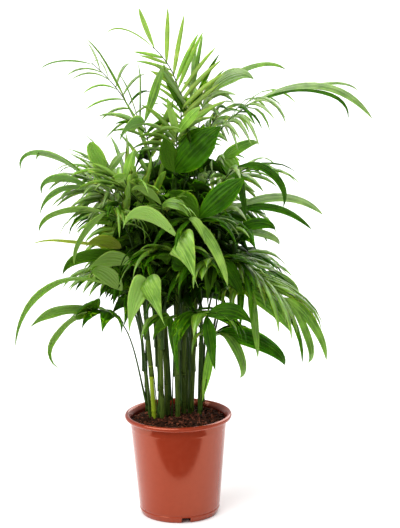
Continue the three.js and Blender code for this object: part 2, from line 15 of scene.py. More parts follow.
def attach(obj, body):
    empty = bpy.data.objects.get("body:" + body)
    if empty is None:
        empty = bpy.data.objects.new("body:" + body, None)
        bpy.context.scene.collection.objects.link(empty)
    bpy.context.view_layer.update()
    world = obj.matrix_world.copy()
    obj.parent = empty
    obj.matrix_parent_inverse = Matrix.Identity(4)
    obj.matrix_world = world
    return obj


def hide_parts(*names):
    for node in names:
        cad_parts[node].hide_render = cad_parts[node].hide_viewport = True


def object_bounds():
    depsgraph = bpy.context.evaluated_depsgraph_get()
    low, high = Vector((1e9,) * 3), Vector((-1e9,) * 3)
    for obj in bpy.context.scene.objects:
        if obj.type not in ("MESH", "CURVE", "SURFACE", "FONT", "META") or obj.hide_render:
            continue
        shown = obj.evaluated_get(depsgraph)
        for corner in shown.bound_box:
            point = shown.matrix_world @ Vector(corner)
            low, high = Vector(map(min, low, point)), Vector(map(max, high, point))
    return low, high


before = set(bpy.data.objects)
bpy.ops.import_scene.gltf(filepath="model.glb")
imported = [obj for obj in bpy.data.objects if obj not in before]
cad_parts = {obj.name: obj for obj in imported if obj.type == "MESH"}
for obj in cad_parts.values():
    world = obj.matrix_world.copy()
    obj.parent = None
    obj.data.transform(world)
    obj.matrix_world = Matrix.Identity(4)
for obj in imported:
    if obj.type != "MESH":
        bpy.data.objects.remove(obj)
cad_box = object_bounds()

MM = 0.001

# %% [markdown]
# ## Arrays that turn into meshes
# Every piece here is a surface worked out with numpy: an array of points in millimetres and arrays
# of faces. It could be modelled by hand or with modifiers, but arrays keep the rule in sight and
# thousands of leaflets cost no more than one. One function puts such arrays into a mesh.


# %% Put arrays into a mesh
def make_piece(name, points, faces, material, marks=None, sharp_above=180):
    """A mesh object from points in mm and a list of face arrays, one row of corners for each face.

    marks are extra values for each point, stored as attributes that materials can read.
    """
    mesh = bpy.data.meshes.new(name)
    mesh.vertices.add(len(points))
    mesh.vertices.foreach_set("co", (points * MM).astype(np.float32).ravel())
    corners = np.concatenate([f.ravel() for f in faces]).astype(np.int32)
    sizes = np.concatenate([np.full(len(f), f.shape[1]) for f in faces])
    starts = np.concatenate([[0], np.cumsum(sizes)[:-1]]).astype(np.int32)
    mesh.loops.add(len(corners))
    mesh.loops.foreach_set("vertex_index", corners)
    mesh.polygons.add(len(starts))
    mesh.polygons.foreach_set("loop_start", starts)
    for mark, values in (marks or {}).items():
        kind, key = ("FLOAT_VECTOR", "vector") if values.ndim == 2 else ("FLOAT", "value")
        attribute = mesh.attributes.new(mark, kind, "POINT")
        attribute.data.foreach_set(key, values.astype(np.float32).ravel())
    mesh.update(calc_edges=True)
    mesh.shade_smooth()
    if sharp_above < 180:
        mesh.set_sharp_from_angle(angle=math.radians(sharp_above))
    mesh.materials.append(material)
    piece = bpy.data.objects.new(name, mesh)
    bpy.context.scene.collection.objects.link(piece)
    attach(piece, "root")
    print(f"{name}: {len(points)} points, {int((sizes - 2).sum())} triangles")
    return piece


def tube_faces(rows, ring, copies=1):
    """Faces of closed tubes: quads between each ring and the next, and a cap over each end."""
    row, k = np.meshgrid(np.arange(rows - 1), np.arange(ring), indexing="ij")
    after = (k + 1) % ring
    quads = np.stack([k, after, after + ring, k + ring], -1) + row[..., None] * ring
    first = np.arange(ring)[::-1]
    caps = np.stack([first, (rows - 1) * ring + np.arange(ring)])
    start = (np.arange(copies) * rows * ring)[:, None, None]
    return [(quads.reshape(1, -1, 4) + start).reshape(-1, 4), (caps[None] + start).reshape(-1, ring)]


def together(*parts):
    """Arrays of numbers joined into one array of points or marks."""
    return np.stack(np.broadcast_arrays(*parts), -1)


def circle(angle):
    """Directions in the level plane at the given angles."""
    return together(np.cos(angle), np.sin(angle), 0)


def unit(v):
    """v scaled to length one."""
    return v / np.linalg.norm(v, axis=-1, keepdims=True)


def turned(v, axis, angle):
    """v turned about a unit axis a: v cos t + (a x v) sin t + a (a . v)(1 - cos t)."""
    along = np.sum(axis * v, axis=-1, keepdims=True)
    return v * np.cos(angle) + np.cross(axis, v) * np.sin(angle) + axis * along * (1 - np.cos(angle))


# %% [markdown]
# ## Colours and node trees
# A colour is written as the sRGB hex value that the eye knows, and one function turns it into the
# linear numbers that the renderer multiplies. One more function adds a node with its settings, sets
# what is given as a value and links what is given as a socket.


# %% Colours and nodes
FIRST_COLOUR, SECOND_COLOUR, MIXED_COLOUR = 6, 7, 2  # a mix node's sockets for colours, by number


def linear(colour):
    """An sRGB hex value as linear red, green, blue and alpha, by the curve of the sRGB standard."""
    parts = np.array([int(colour[i : i + 2], 16) for i in (1, 3, 5)]) / 255
    low, high = parts / 12.92, ((parts + 0.055) / 1.055) ** 2.4
    return (*np.where(parts <= 0.04045, low, high).tolist(), 1.0)


def feed(node, inputs):
    """Sets the inputs that are given as values and links those that are given as sockets."""
    for key, value in inputs.items():
        if isinstance(value, bpy.types.NodeSocket):
            node.id_data.links.new(value, node.inputs[key])
        else:
            node.inputs[key].default_value = value


def add_node(tree, kind, inputs=None, **settings):
    """A shader node of any kind with its settings and what goes into its sockets."""
    node = tree.nodes.new(f"ShaderNode{kind}")
    for key, value in settings.items():
        setattr(node, key, value)
    feed(node, inputs or {})
    return node


def new_material(name, inputs):
    """A material with one Principled BSDF and what is set on it."""
    material = bpy.data.materials.new(name)
    material.use_nodes = True
    shader = material.node_tree.nodes["Principled BSDF"]
    feed(shader, inputs)
    return material, material.node_tree, shader


# %% [markdown]
# ## The pot: injection-moulded polypropylene
# A nursery pot is one thin moulding: a rolled bead for the rim, a low shoulder so that pots don't
# jam when they are stacked, a tapered wall, a groove over the foot, and four notches where water
# runs out from channels under the floor. It could be drawn as a lathe with cut-outs. Here one grid
# does it all: rings of a profile are carried round the axis, and inside a channel's width every
# point below its roof is lifted to that roof, so notches and channels come from the same formula.

# %% The pot's sizes in millimetres
POT_HEIGHT = 163
WALL = 1.8
RIM_RADIUS = 85
BEAD_RADIUS = 3.8
SHOULDER_RADIUS = 75.8
SHOULDER_HEIGHT = 12
SHOULDER_STEP = 2
WALL_TOP_RADIUS = 75.4
WALL_FOOT_RADIUS = 64
FOOT_HEIGHT = 11
FOOT_RADIUS = 61
GROOVE_DEPTH = 1
SEAT_RADIUS = 22
SEAT_MARGIN = 0.1
DRAINS = 4
DRAIN_WIDTH = 14
DRAIN_HEIGHT = 9
DRAIN_SIDE = 0.05  # how far a channel's side leans outwards
FIRST_DRAIN = math.radians(-81)
SOIL_LEVEL = 150
CLEARANCE = 0.3

SHOULDER_START = POT_HEIGHT - 2 * BEAD_RADIUS - SHOULDER_HEIGHT
BEAD_CENTRE = np.array([RIM_RADIUS - BEAD_RADIUS, POT_HEIGHT - BEAD_RADIUS])
BEAD_ANGLES = np.radians(np.linspace(-80, 140, 14))


# %% The pot's profile
def rounded(corners, roundings, steps=4):
    """A path of [radius, height] corners, each replaced by a small parabola.

    The parabola starts and ends a rounding away from the corner, and never past a third of an edge.
    """
    corners = np.array(corners, float)
    path = [corners[:1]]
    share = np.linspace(0, 1, steps + 1)[:, None]
    for before, corner, after, size in zip(corners, corners[1:], corners[2:], roundings):
        arms = np.array([before - corner, after - corner])
        lengths = np.linalg.norm(arms, axis=1, keepdims=True)
        start, end = corner + arms / lengths * np.minimum(size, lengths / 3)
        path.append(start * (1 - share) ** 2 + 2 * corner * share * (1 - share) + end * share**2)
    return np.concatenate([*path, corners[-1:]])


bead = BEAD_CENTRE + BEAD_RADIUS * circle(BEAD_ANGLES)[:, :2]
outer_profile = rounded(
    [
        [1, 0], [SEAT_RADIUS - 0.2, 0], [SEAT_RADIUS, 0], [FOOT_RADIUS - 1.5, 0], [FOOT_RADIUS, 1],
        [WALL_FOOT_RADIUS, FOOT_HEIGHT - 2],
        [WALL_FOOT_RADIUS - GROOVE_DEPTH, FOOT_HEIGHT],
        [WALL_FOOT_RADIUS, FOOT_HEIGHT + 2],
        [WALL_TOP_RADIUS, SHOULDER_START - SHOULDER_STEP],
        [SHOULDER_RADIUS, SHOULDER_START],
        [SHOULDER_RADIUS, POT_HEIGHT - 2 * BEAD_RADIUS],
        bead[0],
    ],
    [0.05, 0.05, 0.5, 0.6, 0.5, 0.5, 0.5, 3.0, 2.0, 0.6],
)
inner_profile = rounded(
    [
        [RIM_RADIUS - 2 * BEAD_RADIUS - 0.2, POT_HEIGHT - 3],
        [SHOULDER_RADIUS - WALL, POT_HEIGHT - 2 * BEAD_RADIUS],
        [SHOULDER_RADIUS - WALL, SHOULDER_START + 1],
        [WALL_TOP_RADIUS - WALL, SHOULDER_START - SHOULDER_STEP],
        [WALL_FOOT_RADIUS - GROOVE_DEPTH - WALL, FOOT_HEIGHT + 2],
        [WALL_FOOT_RADIUS - GROOVE_DEPTH - WALL, FOOT_HEIGHT - 2],
        [FOOT_RADIUS - WALL - 1, WALL], [SEAT_RADIUS - WALL, WALL], [1, WALL],
    ],
    [1.0, 1.0, 1.0, 0.5, 0.5, 0.5, 0.05],
)
print(f"the profile has {len(outer_profile) + len(bead) + len(inner_profile)} rings")


# %% Carry the profile round
CHANNEL_COLUMNS = 4


def pot_surface(columns_between=30):
    """Points of the pot: radius r and height z of a ring, at angles that follow the channels' sides.

    A channel's sides are parallel, so at radius r they stand at the angle whose sine is half the
    width over r. The first columns of each quarter lie inside the channel and the rest share out
    what is left. Inside, a point outside the seat is lifted to the roof: z becomes max(z, roof).
    """
    profile = np.concatenate([outer_profile[:-1], bead, inner_profile])
    outside = np.arange(len(profile)) < len(outer_profile) + len(bead)
    half = np.where(outside, DRAIN_WIDTH / 2, DRAIN_WIDTH / 2 + WALL)
    roof = np.where(outside, DRAIN_HEIGHT, DRAIN_HEIGHT + WALL)
    seat = np.where(outside, SEAT_RADIUS, SEAT_RADIUS - WALL) - SEAT_MARGIN
    radius, height = profile.T
    edge = np.arcsin(half / np.maximum(radius, seat))
    inside = np.linspace(-1, 1, CHANNEL_COLUMNS) * edge[:, None]
    gap = edge + DRAIN_SIDE / np.maximum(radius, seat)
    between = np.linspace(0, 1, columns_between)
    rest = gap[:, None] + between * (math.tau / DRAINS - 2 * gap)[:, None]
    quarter = np.concatenate([inside, rest], 1)
    turns = FIRST_DRAIN + math.tau / DRAINS * np.arange(DRAINS)
    angle = (turns[None, :, None] + quarter[:, None, :]).reshape(len(profile), -1)
    lifted = np.tile(np.arange(quarter.shape[1]) < CHANNEL_COLUMNS, DRAINS)
    lift = lifted[None] & (radius > seat)[:, None] & (height < roof)[:, None]
    z = np.where(lift, roof[:, None], height[:, None])
    r = radius[:, None]
    return together(r * np.cos(angle), r * np.sin(angle), z)


pot_points = pot_surface()
inner_rows = np.arange(len(pot_points)) >= len(outer_profile) + len(bead)
inner_marks = {"inner": np.repeat(inner_rows, pot_points.shape[1]).astype(float)}

# %% [markdown]
# Polypropylene is dyed right through, so the pot has one terracotta red with hardly any change in
# it. The mould's polish leaves it glossy with a faint orange peel, and handling leaves scuffs that
# show only in the gloss, so the pattern goes into roughness and bump and barely into the colour.
# Polypropylene's IOR is 1.5. It is raised here and the gloss tinted red, which gives the deep,
# coloured shine of a polished mould. The inner wall is duller, and darkened in patches with painted
# shade.

# %% The pot's plastic
PEEL_MM = 2.5
SCUFF_MM = 9
GLOSSY_IOR = 1.9
GLOSS_TINT = (1.0, 0.42, 0.27, 1.0)

plastic, tree, shader = new_material(
    "moulded polypropylene, terracotta", {"IOR": GLOSSY_IOR, "Specular Tint": GLOSS_TINT}
)
where = add_node(tree, "TexCoord").outputs["Object"]
peel = add_node(tree, "TexNoise", {"Vector": where, "Scale": 1 / (PEEL_MM * MM), "Detail": 1.0})
scuffs = add_node(tree, "TexNoise", {"Vector": where, "Scale": 1 / (SCUFF_MM * MM), "Detail": 6.0})
inner = add_node(tree, "Attribute", attribute_name="inner")
# painted shade: on the inner wall, patches of the scuff noise are darkened towards near-black brown
painted_shade_inside = add_node(tree, "Math", {0: inner.outputs["Fac"], 1: scuffs.outputs["Fac"]}, operation="MULTIPLY")
shine = add_node(tree, "MapRange", {"Value": inner.outputs["Fac"], "To Min": 0.5, "To Max": 0.06})
plain = add_node(
    tree,
    "Mix",
    {0: scuffs.outputs["Fac"], FIRST_COLOUR: linear("#822b17"), SECOND_COLOUR: linear("#8a301b")},
    data_type="RGBA",
)
# the terracotta red, with the painted shade mixed in on the inner wall
dye_and_painted_shade = add_node(
    tree,
    "Mix",
    {0: painted_shade_inside.outputs[0], FIRST_COLOUR: plain.outputs[MIXED_COLOUR], SECOND_COLOUR: linear("#1e0f08")},
    data_type="RGBA",
)
gloss = add_node(
    tree,
    "MapRange",
    {"Value": scuffs.outputs["Fac"], "From Min": 0.35, "From Max": 0.7, "To Min": 0.11, "To Max": 0.18},
)
relief = add_node(tree, "Bump", {"Height": peel.outputs["Fac"], "Distance": 0.015 * MM, "Strength": 0.5})
feed(
    shader,
    {
        "Base Color": dye_and_painted_shade.outputs[MIXED_COLOUR],
        "Roughness": gloss.outputs["Result"],
        "Specular IOR Level": shine.outputs["Result"],
        "Normal": relief.outputs["Normal"],
    },
)

pot = make_piece(
    "nursery_pot",
    pot_points.reshape(-1, 3),
    tube_faces(*pot_points.shape[:2]),
    plastic,
    inner_marks,
    sharp_above=35,
)
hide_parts("pot")

# %% [markdown]
# ## The soil: bark and coir
# The pot is filled with a dark coarse mix, and its top is a heap of bark chips with redder flecks.
# A displaced plane alone would look like clay. So a disc with two sizes of bumps makes the ground,
# and flat chips with knocked corners lie on it, all made as one array.

# %% Bumps that are the same every time
SEED = 20
BUMP_CELLS = 64
HEAP_AT_WALL, HEAP_RISE = 2, 3
LARGE_BUMP, LARGE_BUMP_RISE = 17, 1.8
SMALL_BUMP, SMALL_BUMP_RISE = 5, 1.2


def bumps(x, y, size, seed):
    """Smooth bumps from -1 to 1: random heights on a grid of that size, blended with 3t^2 - 2t^3."""
    heights = np.random.default_rng(seed).uniform(-1, 1, (BUMP_CELLS, BUMP_CELLS))
    cell_x, share_x = np.divmod(x / size, 1)
    cell_y, share_y = np.divmod(y / size, 1)
    blend_x, blend_y = (share * share * (3 - 2 * share) for share in (share_x, share_y))
    i, j = cell_x.astype(int) % BUMP_CELLS, cell_y.astype(int) % BUMP_CELLS
    i_next, j_next = (i + 1) % BUMP_CELLS, (j + 1) % BUMP_CELLS
    near = heights[i, j] * (1 - blend_x) + heights[i_next, j] * blend_x
    far = heights[i, j_next] * (1 - blend_x) + heights[i_next, j_next] * blend_x
    return near * (1 - blend_y) + far * blend_y


def soil_height(x, y):
    """A low heap that sinks with the square of the distance, with large and small bumps on it."""
    heap = HEAP_AT_WALL + HEAP_RISE * np.clip(1 - (x * x + y * y) / SHOULDER_RADIUS**2, 0, 1)
    large = LARGE_BUMP_RISE * bumps(x, y, LARGE_BUMP, SEED)
    return SOIL_LEVEL + heap + large + SMALL_BUMP_RISE * bumps(x, y, SMALL_BUMP, SEED + 1)


# %% The ground
SOIL_DEPTH = 20
SOIL_TAPER = 0.97


def soil_points(rings=46, columns=128):
    """A closed disc: its top follows soil_height, its side drops beside the wall, its floor is flat."""
    angle = math.tau * np.arange(columns) / columns
    radius = np.linspace(0.6, SHOULDER_RADIUS - WALL - CLEARANCE, rings)[:, None]
    x, y = radius * np.cos(angle), radius * np.sin(angle)
    top = together(x, y, soil_height(x, y))
    floor = top[::-1] * SOIL_TAPER
    floor[..., 2] = SOIL_LEVEL - SOIL_DEPTH
    return np.concatenate([top, floor])[::-1]


# %% Bark chips
CHIPS = 1100
CHIP_MM = (3.3, 1.8, 0.7)
CHIP_MOST_MM = 6
CHIP_SIZES_VARY = 0.4
CHIP_CORNERS_VARY = (0.6, 1.1)
CHIP_AXIS = (0.3, 0.3, 1)  # chips turn mostly about an upright axis, so they lie flat
CHIP_FROM_WALL_MM = 4
CHIP_LIFT_MM = 1.4


def chips(count, seed):
    """Boxes of random sizes, each corner moved by chance, turned by a random rotation, on the soil.

    The rotation comes from four random numbers as a quaternion: its last three give the axis, and
    the arc tangent of their length over the first is half the angle.
    """
    rng = np.random.default_rng(seed)
    corners = np.array(np.meshgrid([-1, 1], [-1, 1], [-1, 1], indexing="ij")).reshape(3, 8).T
    size = np.minimum(CHIP_MM * rng.lognormal(0, CHIP_SIZES_VARY, (count, 3)), CHIP_MOST_MM)
    box = corners * size[:, None] * rng.uniform(*CHIP_CORNERS_VARY, (count, 8, 3))
    first, *rest = rng.normal(size=(count, 4)).T
    axis = np.stack(rest, -1)[:, None] * CHIP_AXIS
    half_turn = np.arctan2(np.linalg.norm(axis, axis=-1), first[:, None])[..., None]
    box = turned(box, unit(axis), 2 * half_turn)
    angle = rng.uniform(0, math.tau, count)
    radius = (SHOULDER_RADIUS - WALL - CHIP_FROM_WALL_MM) * np.sqrt(rng.uniform(0, 1, count))
    x, y = radius * np.cos(angle), radius * np.sin(angle)
    centre = together(x, y, soil_height(x, y) + rng.uniform(0, CHIP_LIFT_MM, count))
    points = box + centre[:, None]
    sides = np.array([[0, 1, 3, 2], [4, 6, 7, 5], [0, 4, 5, 1], [2, 3, 7, 6], [0, 2, 6, 4], [1, 5, 7, 3]])
    return points.reshape(-1, 3), (sides[None] + 8 * np.arange(count)[:, None, None]).reshape(-1, 4)


# %% [markdown]
# Bark is composted pine: nearly black where it is wet, red-brown where a chip has split. One
# material with both browns would put them side by side on a chip, so each kind of chip is a piece
# with a material of its own.


# %% Soil materials
def bark(name, dark, light, grain_mm):
    """A rough dry surface whose colour runs between two browns over grains of a size."""
    material, tree, shader = new_material(name, {"Roughness": 0.9, "Specular IOR Level": 0.15})
    where = add_node(tree, "TexCoord").outputs["Object"]
    grain = add_node(tree, "TexNoise", {"Vector": where, "Scale": 1 / (grain_mm * MM), "Detail": 5.0})
    colour = add_node(
        tree,
        "Mix",
        {0: grain.outputs["Fac"], FIRST_COLOUR: linear(dark), SECOND_COLOUR: linear(light)},
        data_type="RGBA",
    )
    relief = add_node(tree, "Bump", {"Height": grain.outputs["Fac"], "Distance": 0.8 * MM, "Strength": 0.8})
    feed(shader, {"Base Color": colour.outputs[MIXED_COLOUR], "Normal": relief.outputs["Normal"]})
    return material


ground = soil_points()
soil = make_piece(
    "bark_soil",
    ground.reshape(-1, 3),
    tube_faces(*ground.shape[:2]),
    bark("composted bark, damp", "#0a0503", "#1e0f08", 2.5),
)
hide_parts("soil")

# %% Make the chips
CHIP_KINDS = [
    ("bark_chips_dark", CHIPS, "pine bark chips, wet", "#1a0c05", "#40210f"),
    ("bark_chips_red", CHIPS // 3, "pine bark chips, split", "#4c2212", "#824a34"),
]
for number, (name, count, finish, dark, light) in enumerate(CHIP_KINDS):
    points, faces = chips(count, SEED + 2 + number)
    make_piece(name, points, [faces], bark(finish, dark, light, 1.5), sharp_above=30)

# %% [markdown]
# ## The canes
# A parlour palm's cane is a slender green stem, ringed where each old leaf fell, and wrapped in the
# sheaths of the leaves that it still has. Each cane is a tube carried along a line that leans
# outwards faster towards its top, and its radius swells at each ring and dips just under it.

# %% The canes' sizes
# foot x and y on the soil, then x, y and z of the top, then the radius at the foot
CANES = {
    "a": (-45, 14, -62, 12, 340, 3.4),
    "b": (-38, -6, -52, -20, 380, 4.6),
    "c": (-25, -9, -30, -26, 430, 4.4),
    "d": (-17, 11, -22, 8, 460, 4.8),
    "e": (-1, 0, 2, -16, 470, 4.4),
    "f": (9, 17, 14, 14, 480, 4.6),
    "g": (21, 22, 36, 16, 430, 4.4),
    "h": (34, 12, 54, 2, 300, 2.8),
    "i": (-26, 40, -40, 64, 430, 4.2),
    "k": (12, 46, 30, 76, 440, 4.2),
}
CANE_TOP_SHARE = 0.62
CANE_BOW = 1.25
CANE_FOOT = SOIL_LEVEL + CLEARANCE
RING_SPACING = 27
CANE_COLUMNS = 16
CANE_SLIM = 0.84  # the solids are as thick as a cane in its sheaths


def cane_point(row, share):
    """Foot + (top - foot) x share^1.25 in plan, and straight up in height."""
    foot, top = np.array(row[:2]), np.array(row[2:4])
    share = np.asarray(share, float)[..., None]
    plan = foot + (top - foot) * np.maximum(share, 0) ** CANE_BOW
    return np.concatenate([plan, CANE_FOOT + (row[4] - CANE_FOOT) * share], -1)


def cane_radius(row, share):
    """The radius at the foot, shrinking evenly to CANE_TOP_SHARE of it at the top."""
    return row[5] * (1 + (CANE_TOP_SHARE - 1) * share)


def bare_radius(row, share):
    """The solid's radius without what its sheaths take up."""
    return CANE_SLIM * cane_radius(row, share)


# %% Rings on a tube
CANE_ROW_MM = 1.6
IN_SOIL_MM = 3
JOINTS_VARY = 0.2
RING_RISE_MM, RING_HALF_MM = 0.5, 1.4
DIP_DEPTH_MM, DIP_HALF_MM, DIP_BELOW_MM = 0.3, 1.2, 3
FLUTES, FLUTE_DEPTH, FLUTE_TURN_MM = 5, 0.025, 40
CANE_TIP_MM, CANE_TIP_LEAST = 4, 0.02


def cane_rows(row, seed):
    """Points of a cane: (radius + rings) x (1 + flutes) round its line, from just inside the soil.

    A ring is a narrow bell curve over each joint with a dip just under it. The joints stand
    RING_SPACING apart, give or take a fifth. The flutes are shallow waves round the cane.
    """
    rng = np.random.default_rng(seed)
    height = row[4] - CANE_FOOT
    z = np.linspace(-IN_SOIL_MM, height, int(height / CANE_ROW_MM))
    joints = RING_SPACING * (rng.uniform(0, 1) + np.arange(int(height / RING_SPACING) + 1))
    joints = joints + rng.uniform(-JOINTS_VARY, JOINTS_VARY, len(joints)) * RING_SPACING
    past = z[:, None] - joints
    ring = RING_RISE_MM * np.exp(-((past / RING_HALF_MM) ** 2))
    ring = ring - DIP_DEPTH_MM * np.exp(-(((past + DIP_BELOW_MM) / DIP_HALF_MM) ** 2))
    angle = math.tau * np.arange(CANE_COLUMNS) / CANE_COLUMNS
    flutes = FLUTE_DEPTH * np.cos(FLUTES * angle + z[:, None] / FLUTE_TURN_MM + seed)
    tip = np.sqrt(np.clip((height - z) / CANE_TIP_MM, CANE_TIP_LEAST, 1))
    radius = (bare_radius(row, z / height) * tip + ring.sum(1) * tip)[:, None] * (1 + flutes)
    points = cane_point(row, z / height)[:, None] + radius[..., None] * circle(angle)
    return points, together(angle * row[5], z[:, None], 10.0 * seed)


# %% [markdown]
# The skin of a young cane is smooth green wood with fine lines along it, darker and greyer as it
# ages, and one new cane is still yellow-green. The lines follow the cane, so the pattern reads a
# mark on each point: millimetres round the cane and along it.


# %% Stem materials
def stem_skin(name, dark, light, line_mm=0.9, roughness=0.45):
    """Fine lines along a stem: noise stretched thirty times along it, in colour and in relief."""
    surface = {"Roughness": roughness, "Specular IOR Level": 0.12}
    material, tree, shader = new_material(name, surface)
    grain = add_node(tree, "Attribute", attribute_name="grain")
    stretch = add_node(
        tree,
        "VectorMath",
        {0: grain.outputs["Vector"], 1: (1 / line_mm, 1 / (30 * line_mm), 1.0)},
        operation="MULTIPLY",
    )
    lines = add_node(tree, "TexNoise", {"Vector": stretch.outputs["Vector"], "Scale": 1.0, "Detail": 3.0})
    contrast = add_node(
        tree, "MapRange", {"Value": lines.outputs["Fac"], "From Min": 0.38, "From Max": 0.66}
    )
    colour = add_node(
        tree,
        "Mix",
        {0: contrast.outputs["Result"], FIRST_COLOUR: linear(dark), SECOND_COLOUR: linear(light)},
        data_type="RGBA",
    )
    relief = add_node(tree, "Bump", {"Height": lines.outputs["Fac"], "Distance": 0.3 * MM, "Strength": 0.5})
    feed(shader, {"Base Color": colour.outputs[MIXED_COLOUR], "Normal": relief.outputs["Normal"]})
    return material


old_skin = stem_skin("cane skin, mature", "#141f02", "#45590e")
new_skin = stem_skin("cane skin, young", "#6f8614", "#95a828")
NEW_CANE = "b"

# %% Make the canes
for seed, (name, row) in enumerate(CANES.items()):
    points, grain = cane_rows(row, seed)
    skin = new_skin if name == NEW_CANE else old_skin
    faces = tube_faces(*points.shape[:2])
    piece = make_piece(
        f"stem_{name}", points.reshape(-1, 3), faces, skin, {"grain": grain.reshape(-1, 3)}
    )
    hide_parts(f"cane_{name}")

# %% [markdown]
# ## The rule of a frond
# A frond is an arching stalk with pairs of leaflets along its far half and, on a young palm, broad
# leaves at its end. Leaflets could be scattered by a particle system, but then they would not stand
# where the solids have them. So the rule that shaped the solids is written again here: where each
# stalk leaves its cane, where it ends and how steeply, and how its leaflets spread, lift and droop.

# %% What a frond has where its row says nothing
# bare is the share of the stalk below the first leaflets, leaf and width a leaflet's sizes in mm,
# and wide and narrow the angles between stalk and leaflet at the first and last pair. lift raises
# leaflets out of the frond's plane, roll turns that plane about the stalk, and uneven is how much
# longer one side's leaflets are. tint marks lighter fronds: 1 fresh, 2 pale.
USUAL = dict(
    bare=0.56, pairs=0, leaf=100, width=12, droop=0.8, wide=62, narrow=20,
    lift=12, roll=0, uneven=0, tint=0, ends=(),
)

